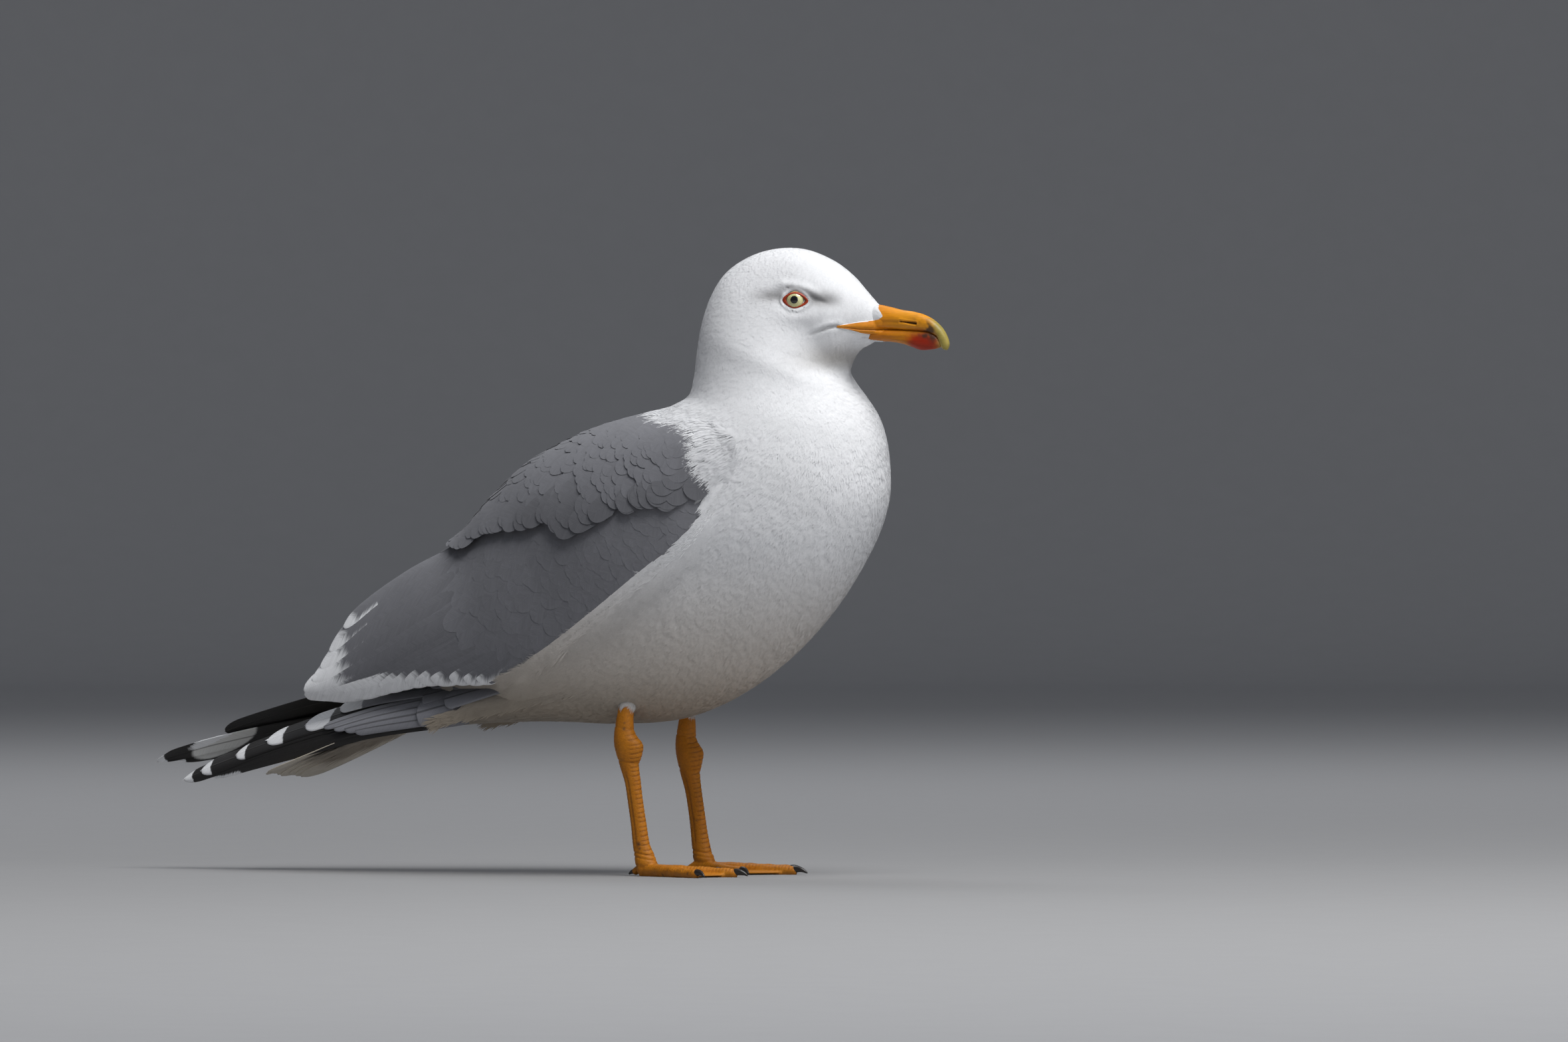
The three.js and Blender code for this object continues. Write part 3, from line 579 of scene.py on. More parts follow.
class Piece:
    """Collects blades until they become one mesh."""
    def __init__(self):
        self.v, self.n, self.q, self.uv, self.c, self.f, self.count = [], [], [], [], [], {}, 0

    def add(self, X, N, uv, colour, floats, rows, cols, quads=None):
        count = X.shape[0]
        self.v.append(X.reshape(-1, 3)); self.n.append(N.reshape(-1, 3))
        self.q.append((grid_quads(count, rows, cols) if quads is None else quads) + self.count)
        self.uv.append(uv.reshape(-1, 2)); self.c.append(np.broadcast_to(colour, X.shape).reshape(-1, 3))
        size = int(np.prod(X.shape[:-1]))
        for key, value in floats.items():
            self.f.setdefault(key, []).append(np.broadcast_to(value, X.shape[:-1]).reshape(-1))
        self.count += size

    def make(self, name, material, bend=1.0):
        if not self.v:
            return None
        floats = {k: np.concatenate(v) for k, v in self.f.items()}
        piece = build(name, np.concatenate(self.v), np.concatenate(self.q), normals=np.concatenate(self.n),
                      uv=np.concatenate(self.uv), colours={"tint": np.concatenate(self.c)}, floats=floats,
                      material=material)
        print(name, "triangles", 2 * len(piece.data.polygons))
        return piece


def spread(Q, box):
    (a0, a1), (b0, b1) = box
    return np.stack([0.01 + 0.98 * (Q[..., 0] - a0) / (a1 - a0), 0.01 + 0.98 * (Q[..., 1] - b0) / (b1 - b0)], -1)


def tufts(piece, sheet, Q, length, width, strands, half, low, high, colour, seed, box, twist=0.0, toward=(0.0, 1.0),
          shade=0.035, hook=0.0, blend=0.9, rows=3, check=None, lift_tip=None, loose=1.0, push=None):
    """Tufts of fine strands along the coat's lie, rooted under the sheet and ending at it."""
    if not len(Q):
        return
    g = rng(seed)
    n = len(Q)
    L = np.asarray(length, float) * g.uniform(0.8, 1.2, n)
    W = np.asarray(width, float) * g.uniform(0.8, 1.2, n)
    turn = np.asarray(twist, float) + g.normal(0, 0.10, n)
    level = g.normal(0, shade, n)
    lifts = g.uniform(-0.35, 0.35, n) * loose
    t = np.linspace(-1, 1, strands) if strands > 1 else np.zeros(1)
    for j in range(strands):
        tj = t[j] + g.normal(0, 0.12, n)
        a0 = -0.12 * L + g.normal(0, 0.05, n) * L
        a1 = L * (1 - 0.18 * np.abs(tj)) + g.normal(0, 0.07, n) * L
        p0 = Q + sheet.step(Q, a0, tj * W * 0.30, toward, turn)
        p1 = Q + sheet.step(Q, a1, tj * W * 0.62, toward, turn)
        s = np.linspace(0, 1, rows)
        rise = np.asarray(low, float).reshape(-1, 1) * (1 - s) ** 1.5 + (np.asarray(high, float).reshape(-1, 1) + lifts[:, None] * 0.6) * s ** 0.7
        if lift_tip is not None:
            rise = rise + np.asarray(lift_tip, float).reshape(-1, 1) * s ** 2
        profile = np.interp(s, [0, 0.5, 0.8, 1.0], [0.95, 1.0, 0.72, 0.10])
        X, N, S, R = lay(sheet, p0, p1, half, rise, rows=rows, cols=2, profile=profile, sweep=hook * tj)
        if push is not None:
            X = push(X)
        ok = np.ones(n, bool)
        if check is not None:
            ok = check(X.mean(2)[:, -1]) & check(X.mean(2)[:, rows // 2])
        if not ok.any():
            continue
        X, N, S, R = X[ok], N[ok], S[ok], R[ok]
        face_n = np.cross(X[:, 1:2, 0] - X[:, :1, 0], X[:, :1, 1] - X[:, :1, 0])
        face_n = norm(face_n * np.sign((face_n * N[:, :1, 0]).sum(-1, keepdims=True)))
        M = norm(N * blend + face_n[:, :, None] * (1 - blend))
        root = spread(Q[ok], box)[:, None, None]
        uv = root + np.stack([(S - 0.5) * 0.003, (tj[ok][:, None, None] * 0.35 + R * 0.15) * 0.003], -1)
        tone = colour(X) * (1 + level[ok][:, None, None, None] + (0.03 * (S[..., None] - 0.5)))
        piece.add(X, M, np.clip(uv, 0, 1), tone, {"s": S, "r": R}, rows, 2)


# ---------------------------------------------------------------- materials
def principled(name, rough=0.6, specular=0.5, sheen=0.0, coat=0.0, coat_rough=0.1, subsurface=0.0):
    m = bpy.data.materials.new(name)
    m.use_nodes = True
    tree = m.node_tree
    b = tree.nodes["Principled BSDF"]
    b.inputs["Roughness"].default_value = rough
    b.inputs["Specular IOR Level"].default_value = specular
    b.inputs["Sheen Weight"].default_value = sheen
    b.inputs["Sheen Roughness"].default_value = 0.5
    b.inputs["Coat Weight"].default_value = coat
    b.inputs["Coat Roughness"].default_value = coat_rough
    return m, tree, b


def node(tree, kind, **settings):
    n = tree.nodes.new(kind)
    inputs = settings.pop("inputs", {})
    for key, value in settings.items():
        setattr(n, key, value)
    for key, value in inputs.items():
        if isinstance(value, bpy.types.NodeSocket):
            tree.links.new(value, n.inputs[key])
        else:
            n.inputs[key].default_value = value
    return n


def attribute(tree, name):
    return node(tree, "ShaderNodeAttribute", attribute_name=name)


def mix(tree, factor, a, b, blend="MIX"):
    n = tree.nodes.new("ShaderNodeMix")
    n.data_type, n.blend_type = "RGBA", blend
    for socket, value in ((n.inputs[0], factor), (n.inputs[6], a), (n.inputs[7], b)):
        if isinstance(value, bpy.types.NodeSocket):
            tree.links.new(value, socket)
        elif isinstance(value, (int, float)):
            socket.default_value = value
        else:
            socket.default_value = (*value, 1.0) if len(value) == 3 else value
    return n.outputs[2]


def calc(tree, op, a, b=0.0, c=0.0, clamp=False):
    n = tree.nodes.new("ShaderNodeMath")
    n.operation, n.use_clamp = op, clamp
    for socket, value in zip(n.inputs, (a, b, c)):
        if isinstance(value, bpy.types.NodeSocket):
            tree.links.new(value, socket)
        else:
            socket.default_value = value
    return n.outputs[0]


def remap(tree, value, lo, hi, to_lo=0.0, to_hi=1.0, kind="SMOOTHSTEP"):
    n = tree.nodes.new("ShaderNodeMapRange")
    n.interpolation_type = kind
    for key, v in (("Value", value), ("From Min", lo), ("From Max", hi), ("To Min", to_lo), ("To Max", to_hi)):
        if isinstance(v, bpy.types.NodeSocket):
            tree.links.new(v, n.inputs[key])
        else:
            n.inputs[key].default_value = v
    return n.outputs[0]


def noise(tree, scale, detail=3.0, rough=0.5, stretch=None, vector=None):
    where = vector if vector is not None else node(tree, "ShaderNodeTexCoord").outputs["Object"]
    if stretch is not None:
        where = node(tree, "ShaderNodeMapping", inputs={"Vector": where, "Scale": stretch}).outputs[0]
    return node(tree, "ShaderNodeTexNoise", inputs={"Vector": where, "Scale": scale, "Detail": detail, "Roughness": rough}).outputs["Fac"]


def bump(tree, height, distance, strength=1.0):
    return node(tree, "ShaderNodeBump", inputs={"Height": height, "Distance": distance, "Strength": strength}).outputs[0]


def down_material():
    """White body plumage: soft, matt, with a faint silky streak."""
    m, t, b = principled("plumage_white", rough=0.85, specular=0.2, sheen=0.10)
    tint = attribute(t, "tint").outputs["Color"]
    streak = noise(t, 900.0, 2.0, 0.6)
    cloud = noise(t, 55.0, 3.0, 0.55)
    value = calc(t, "ADD", remap(t, streak, 0.3, 0.7, 0.95, 1.0), remap(t, cloud, 0.35, 0.65, -0.03, 0.0))
    t.links.new(mix(t, 1.0, tint, node(t, "ShaderNodeCombineColor", inputs={0: value, 1: value, 2: value}).outputs[0], "MULTIPLY"), b.inputs["Base Color"])
    t.links.new(bump(t, streak, 0.00010, 0.35), b.inputs["Normal"])
    return m


def vane_material(name, barb=1.0, rough=0.62):
    """Firm flat feathers: barbs slanting off a shaft, colour from the feather's own tint."""
    m, t, b = principled(name, rough=rough, specular=0.35, sheen=0.06)
    tint = attribute(t, "tint").outputs["Color"]
    along, across = attribute(t, "mm_s").outputs["Fac"], attribute(t, "mm_r").outputs["Fac"]
    slant = calc(t, "ADD", calc(t, "MULTIPLY", along, 1.0), calc(t, "MULTIPLY", calc(t, "ABSOLUTE", across), -0.9))
    seed = attribute(t, "seed").outputs["Fac"]
    vec = node(t, "ShaderNodeCombineXYZ", inputs={0: calc(t, "MULTIPLY", slant, 2.6), 1: calc(t, "MULTIPLY", across, 0.18), 2: calc(t, "MULTIPLY", seed, 37.0)}).outputs[0]
    barbs = node(t, "ShaderNodeTexNoise", inputs={"Vector": vec, "Scale": 1.0, "Detail": 3.0, "Roughness": 0.6}).outputs["Fac"]
    vec2 = node(t, "ShaderNodeCombineXYZ", inputs={0: calc(t, "MULTIPLY", slant, 0.35), 1: calc(t, "MULTIPLY", across, 0.05), 2: calc(t, "MULTIPLY", seed, 91.0)}).outputs[0]
    broad = node(t, "ShaderNodeTexNoise", inputs={"Vector": vec2, "Scale": 1.0, "Detail": 2.0, "Roughness": 0.5}).outputs["Fac"]
    value = calc(t, "ADD", remap(t, barbs, 0.25, 0.75, 1.0 - 0.10 * barb, 1.0 + 0.05 * barb), remap(t, broad, 0.3, 0.7, -0.045, 0.045))
    fray = calc(t, "ADD", calc(t, "MULTIPLY", calc(t, "SUBTRACT", barbs, 0.5), 5.0), calc(t, "MULTIPLY", calc(t, "SUBTRACT", broad, 0.5), 6.0))
    pale = remap(t, calc(t, "ADD", attribute(t, "white").outputs["Fac"], fray), -3.0, 2.6)
    tint = mix(t, pale, tint, tuple(WHITE * 0.98))
    t.links.new(mix(t, 1.0, tint, node(t, "ShaderNodeCombineColor", inputs={0: value, 1: value, 2: value}).outputs[0], "MULTIPLY"), b.inputs["Base Color"])
    ridge = calc(t, "ADD", calc(t, "MULTIPLY", barbs, 0.6), calc(t, "MULTIPLY", remap(t, calc(t, "ABSOLUTE", across), 0.0, 0.5, 1.0, 0.0), 0.25))
    t.links.new(bump(t, ridge, 0.00018, 0.5), b.inputs["Normal"])
    return m


DOWN = down_material()
VANE = vane_material("plumage_grey")

# ---------------------------------------------------------------- where the white coat shows on the body
def _covered():
    """Body places that the folded wings hide, on a coarse grid."""
    P = BODY_SHEET.P[::4, ::4]
    flat = P.reshape(-1, 3)
    hidden = np.zeros(len(flat), bool)
    edge = np.full(len(flat), 99.0)
    for side in (1, -1):
        pick = np.nonzero((flat[:, 1] * side > -2) & (flat[:, 0] < 150) & (flat[:, 2] < 292))[0]
        Q, out, off, N = WING_AT[side].find(flat[pick])
        k, v = Q[:, 0], Q[:, 1]
        inside = (v > np.maximum(wing_front(k), -0.04) + 0.015) & (k < 0.965) & (v < 1.05) & (out < 2.5) & (off < 6)
        hidden[pick] |= inside & (k > -0.10)
        rim = (v > -0.03) & (k > 0.9) & (off < 14)
        edge[pick] = np.minimum(edge[pick], np.where(rim, off + np.maximum(0, 1.0 - k) * 60, 99))
    return hidden.reshape(P.shape[:-1]), edge.reshape(P.shape[:-1])


HIDDEN, WING_EDGE = _covered()


def coarse(field, Q):
    i = np.round((Q[..., 0] % 1.0) * 180).astype(int) % 180
    j = np.clip(np.round(Q[..., 1] * 350).astype(int), 0, 350)
    return field[i, j]


def line_side(P, a, b):
    """Which side of a straight cut seen from the side; positive toward the bill."""
    return (b[0] - a[0]) * (P[..., 2] - a[1]) - (b[1] - a[1]) * (P[..., 0] - a[0])


def head_side(P):
    return line_side(P, (103, 337), (196, 301)) / 100


def neck_side(P):
    return line_side(P, (92, 285), (214, 258)) / 125


# the bill's own form, for keeping feathers off it
BILL_UPPER = [
    ((205.0, 333.0), (205.0, 333.0), 0.0), ((206.0, 338.0), (206.0, 327.6), 5.0), ((210.0, 340.6), (210.0, 326.2), 6.6),
    ((214.5, 340.8), (214.0, 326.0), 6.9), ((222.0, 339.4), (222.0, 325.9), 6.2), ((230.0, 337.5), (230.0, 325.6), 5.5),
    ((238.0, 336.3), (238.0, 325.2), 4.8), ((245.0, 334.4), (244.2, 324.6), 4.3), ((251.0, 331.3), (249.4, 323.5), 3.9),
    ((256.4, 326.4), (253.2, 321.2), 3.4), ((259.8, 320.6), (254.8, 317.4), 2.7), ((260.7, 316.4), (256.2, 314.6), 2.0),
    ((259.6, 313.8), (258.0, 313.7), 0.9), ((258.9, 313.6), (258.9, 313.6), 0.0),
]
BILL_LOWER = [
    ((203.0, 322.8), (203.0, 322.8), 0.0), ((204.0, 326.2), (204.0, 320.2), 4.2), ((209.0, 326.6), (209.0, 319.2), 5.6),
    ((215.0, 326.5), (215.0, 318.9), 5.7), ((223.0, 326.3), (223.0, 318.6), 5.2), ((231.0, 326.0), (231.0, 317.3), 4.6),
    ((237.0, 325.7), (237.0, 315.4), 4.1), ((242.4, 325.3), (242.2, 313.7), 3.8), ((248.0, 324.5), (247.8, 313.8), 3.4),
    ((252.0, 322.8), (252.6, 314.5), 2.8), ((254.2, 320.6), (255.2, 315.4), 2.0), ((256.0, 317.4), (256.0, 317.4), 0.0),
]


def bill_form(table, power=0.8):
    def place(u, v):
        d = catmull([(a[0], w, a[1]) for a, b, w in table], v)
        b = catmull([(b[0], 0.0, b[1]) for a, b, w in table], v)
        c, s = np.cos(2 * np.pi * u), np.sin(2 * np.pi * u)
        half = np.maximum(d[..., 1], 0)
        mid, reach = (d + b) / 2, (d - b) / 2
        return np.stack([mid[..., 0] + reach[..., 0] * c, half * np.sign(s) * np.abs(s) ** power,
                         mid[..., 2] + reach[..., 2] * c], -1)
    return place


# Where the horn of the bill is bare, in the side view: the feathers' edge, upper side then lower side.
BARE = np.array([
    (214.6, 342.5), (217.0, 338.0), (220.2, 333.6), (217.5, 331.9), (213.4, 331.0), (207.5, 330.2), (200.5, 328.9), (195.6, 327.9),
    (195.6, 327.2), (202.0, 326.0), (206.6, 324.4), (209.3, 322.7), (207.4, 321.0), (211.0, 319.9), (218.6, 319.1), (222.0, 316.0),
    (270, 305.0), (270, 345.0)])


def inside(poly, x, z):
    hit = np.zeros(np.shape(x), bool)
    n = len(poly)
    for i in range(n):
        (x0, z0), (x1, z1) = poly[i], poly[(i + 1) % n]
        cross = (z0 > z) != (z1 > z)
        at = (x1 - x0) * (z - z0) / (z1 - z0 + 1e-12) + x0
        hit ^= cross & (x < at)
    return hit


def feathered_face(P):
    """True where feathers may stand: off the bill and off the bare ring of the eye."""
    return ~inside(BARE, P[..., 0], P[..., 2]) & (ring_gap(P) > -0.15)


def _wing_edges():
    """The lower edge of each folded wing: places, outward normals."""
    out = {}
    for side in (1, -1):
        v = np.linspace(-0.05, 0.66, 400)
        k = np.interp(v, [-0.05, 0.10, 0.50, 0.56, 0.66], [0.97, 0.985, 0.985, 1.03, 1.05])
        P, N = WINGS[side].at(np.stack([k, v], -1), "P", "N")
        out[side] = (P, N, tree_of(P))
    return out


EDGES = _wing_edges()


def over_wing(X, reach=17.0, proud=1.1):
    """Bulges the flank's coat outward along the folded wing's lower edge, so it meets and laps the wing."""
    flat = X.reshape(-1, 3).copy()
    near = np.nonzero((np.abs(flat[:, 1]) > 6) & (flat[:, 0] < 140) & (flat[:, 0] > -90) & (flat[:, 2] > 84) & (flat[:, 2] < 250))[0]
    for side in (1, -1):
        P, N, tree = EDGES[side]
        pick = near[(flat[near, 1] * side > 18) & (flat[near, 2] > 100)]
        if not len(pick):
            continue
        idx = np.array([tree.find(p)[1] for p in flat[pick].tolist()])
        D = flat[pick] - P[idx]
        out = (D * N[idx]).sum(-1)
        off = np.linalg.norm(D - out[:, None] * N[idx], axis=-1)
        v = idx / 399.0
        lift = np.maximum(proud - out, 0) * smooth(reach, 1.5, off) * smooth(0.0, 0.05, v) * smooth(1.0, 0.85, v)
        flat[pick] += N[idx] * lift[:, None]
    return flat.reshape(X.shape)


def gap_spacing(P):
    e, f, d = eye_plane(P)
    s = 0.98 + 0.26 * smooth(195, 150, P[..., 0]) + 0.2 * smooth(150, 110, P[..., 0])
    s = np.where(ring_gap(P) < 6, 0.80 + 0.05 * np.maximum(ring_gap(P), 0), s)
    s = np.minimum(s, 0.85 + 0.05 * np.maximum(0, 214 - P[..., 0]))
    s = s + 0.7 * smooth(0.5, -0.2, head_side(P) / 10)
    body = 1.62 + 0.40 * smooth(2, -22, neck_side(P))
    return np.where(head_side(P) > 0, s, np.where(neck_side(P) > 0, 1.5, body))


def white_coat():
    keep_all = lambda P, Q: ~coarse(HIDDEN, Q) & feathered_face(P) & (P[..., 0] > -104)
    regions = {
        "coat_head": lambda P: head_side(P) > 0,
        "coat_neck": lambda P: (head_side(P) <= 4) & (neck_side(P) > 0),
        "coat_breast": lambda P: (neck_side(P) <= 5) & (P[..., 0] > 118),
        "coat_flank_right": lambda P: (neck_side(P) <= 5) & (P[..., 0] <= 123) & (P[..., 1] < 0),
        "coat_flank_left": lambda P: (neck_side(P) <= 5) & (P[..., 0] <= 123) & (P[..., 1] >= 0),
    }
    for number, (name, where) in enumerate(regions.items()):
        Q = scatter(BODY_SHEET, gap_spacing, lambda P, Q: keep_all(P, Q) & where(P), 100 + number)
        P = BODY_SHEET.at(Q, "P")
        box = ((Q[:, 0].min(), Q[:, 0].max()), (Q[:, 1].min(), Q[:, 1].max()))
        side = np.sign(P[:, 1])
        piece = Piece()
        if name == "coat_head":
            gap = np.maximum(ring_gap(P), 0)
            small = np.minimum(smooth(0, 9, gap), smooth(222, 200, P[:, 0]) * 0.7 + 0.3)
            length = 1.5 + 2.3 * small + 1.0 * smooth(170, 115, P[:, 0])
            e, f, d = eye_plane(P)
            twist = side * (0.10 + 0.0 * e)
            tufts(piece, BODY_SHEET, Q, length, 1.0 + 0.7 * small, 4, 0.31 + 0.15 * small, -0.12 - 0.09 * small, 0.05 + 0 * gap,
                  white_marks, 7, box, twist=twist, shade=0.010, check=feathered_face, blend=1.0, loose=0.22)
        elif name == "coat_neck":
            tufts(piece, BODY_SHEET, Q, 6.6, 2.5, 5, 0.55, -0.34, 0.06, white_marks, 8, box, shade=0.010, blend=1.0, loose=0.3)
        else:
            back = smooth(150, 40, P[:, 0])
            length = 8.4 + 3.4 * back
            tw = side * 0.30 * smooth(150, 90, P[:, 0]) * smooth(105, 150, P[:, 2])
            tufts(piece, BODY_SHEET, Q, length, 3.2 + 0.8 * back, 5, 0.60, -0.60, 0.10 + 0.18 * back, white_marks, 9 + number, box,
                  twist=tw, shade=0.014, blend=0.95, loose=0.7, push=over_wing)
        piece.make(name, DOWN)


def white_over_wing():
    """White feathers of the neck and breast on the front of each folded wing, and flank plumes over its lower edge."""
    for side, label in ((-1, "right"), (1, "left")):
        sheet = WINGS[side]
        g = rng(40 + side)
        keep = lambda P, Q: (Q[..., 1] < wing_front(Q[..., 0]) + 0.004) & (Q[..., 1] > -0.115) & (Q[..., 0] > -0.05) & (Q[..., 0] < 1.06)
        Q = scatter(sheet, lambda P: 1.9 + 0 * P[..., 0], keep, 300 + side)
        box = ((-0.15, 1.2), (-0.12, 1.0))
        piece = Piece()
        ragged = g.normal(0, 1.0, len(Q))
        dive = smooth(-0.055, -0.115, Q[:, 1]) * smooth(1.02, 0.85, Q[:, 0])
        tufts(piece, sheet, Q, 8.6 + 1.8 * ragged, 2.9, 6, 0.34, -0.6 - 6.0 * dive, 1.1 - 2.6 * dive, white_marks, 21, box, twist=0.16 * side, shade=0.014, blend=1.0)
        # plumes rising from the flank across the wing's lower edge
        n = 520
        v = -0.01 + 0.55 * g.random(n)
        k = 1.0 + g.normal(0, 0.006, n)
        tilt = g.normal(0, 0.12, n)
        length = g.uniform(5.0, 11.0, n)
        Qe = np.stack([k, v], -1)
        tufts(piece, sheet, Qe, length, 2.4, 4, 0.24, 0.5, 1.2, white_marks, 22 + side, box, twist=side * (0.32 + tilt), shade=0.02, blend=1.0)
        n = 130
        Qe = np.stack([g.uniform(0.985, 1.03, n), g.uniform(0.43, 0.575, n)], -1)
        tufts(piece, sheet, Qe, g.uniform(8.0, 13.0, n), 3.0, 5, 0.30, -0.6, 1.4, white_marks, 24 + side, box,
              twist=side * (0.10 + g.normal(0, 0.12, n)), shade=0.02, blend=1.0)
        # the flank's last feathers, closing over the roots of the long flight feathers
        hand = HANDS[side]
        edge = lambda v: np.interp(v, [-0.42, -0.30, -0.20, -0.10, 0.0, 0.10], [0.34, 0.58, 0.78, 0.93, 1.04, 1.10])
        Qh = scatter(hand, lambda P: 2.0 + 0 * P[..., 0], lambda P, Q: (Q[..., 0] > edge(Q[..., 1])) & (Q[..., 0] < 1.16) & (Q[..., 1] < 0.0) & (Q[..., 1] > -0.42), 340 + side)
        rise = 0.8 + 3.6 * smooth(-0.30, -0.02, Qh[:, 1])
        tufts(piece, hand, Qh, 9.5, 3.2, 5, 0.50, rise - 0.8, rise + 0.7, white_marks, 26 + side, ((-0.5, 1.5), (-0.45, 1.12)),
              twist=-side * 0.20, shade=0.014, blend=1.0)
        piece.make("coat_wingfront_" + label, DOWN)


# ---------------------------------------------------------------- grey feathers
def vane_profile(s, tip=0.30, root=0.55, point=2.0):
    body = np.interp(s, [0, 0.25, 1.0], [root, 1.0, 1.0])
    end = np.clip((s - (1 - tip)) / tip, 0, 1)
    return body * np.maximum(1 - end ** point, 0.0) ** 0.5 * (1 - 0.02) + 0.02


def grey_vanes(piece, sheet, p0, p1, half, low, high, seed, box, rows=9, cols=5, tip=0.34, pale=0.25, colour=GREY, camber=0.35,
               white=None, jitter=0.035, sweep=0.0, stations=None, patch=0.003, blend=0.55, limit=None):
    g = rng(seed)
    n = len(p0)
    s = np.linspace(0, 1, rows) if stations is None else stations
    length = np.linalg.norm(sheet.at(p1, "P") - sheet.at(p0, "P"), axis=-1)
    profile = vane_profile(s, tip=tip)
    rise = np.asarray(low, float).reshape(-1, 1) * (1 - s) + np.asarray(high, float).reshape(-1, 1) * s
    X, N, S, R = lay(sheet, p0, p1, half, rise, rows=rows, cols=cols, profile=profile, camber=camber, sweep=sweep, stations=s, limit=limit)
    # true blade normals, softened toward the sheet's
    du = np.gradient(X, axis=2); dv = np.gradient(X, axis=1)
    F = np.cross(du, dv)
    F = norm(F * np.sign((F * N).sum(-1, keepdims=True) + 1e-12))
    bad = np.linalg.norm(F, axis=-1) < 0.5
    F[bad] = N[bad]
    M = norm(F * blend + N * (1 - blend))
    mm_s = S * length[:, None, None]
    mm_r = R * np.asarray(half, float).reshape(-1, 1, 1) * profile[None, :, None]
    ident = g.random(n)
    level = 1 + g.normal(0, jitter, n)
    rim = np.maximum(np.abs(R) ** 5, smooth(1 - 2.2 / np.maximum(length, 1)[:, None, None], 1.0, S))
    colour = np.asarray(colour)
    base = (colour[:, None, None] if colour.ndim == 2 else colour[None, None, None]) * level[:, None, None, None]
    base = base * (1 - 0.10 * (1 - S[..., None]))
    tone = base * (1 - pale * rim[..., None]) + GREY_PALE * (pale * rim[..., None])
    signed = np.full(S.shape, -50.0)
    if white is not None:
        reach = np.asarray(white, float).reshape(-1, 1, 1)
        behind = (1 - S) * length[:, None, None]
        lower = np.where(X[:, rows // 2, -1, 2] < X[:, rows // 2, 0, 2], 1.0, -1.0)[:, None, None] * R
        even = smooth(14, 24, reach)
        signed = reach - behind + 0.42 * reach * (even * (np.abs(R) - 0.5) + (1 - even) * (0.7 * lower - 0.1))
        border = np.minimum(behind, (1 - lower) * np.asarray(half, float).reshape(-1, 1, 1) * profile[None, :, None])
        width = np.interp(reach, [0, 3, 10, 16, 22], [0.8, 2.8, 3.4, 2.0, -2.0])
        signed = np.maximum(signed, np.where(S > 0.72, width - border, -50.0)) * np.interp(reach, [8, 22], [1.0, 0.45])
    uv = spread(p0, box)[:, None, None] + np.stack([(S - 0.5) * patch, R * patch / 2], -1)
    piece.add(X, M, np.clip(uv, 0, 1), tone, {"s": S, "r": R, "mm_s": mm_s, "mm_r": mm_r, "seed": ident[:, None, None], "white": signed}, len(s), cols)


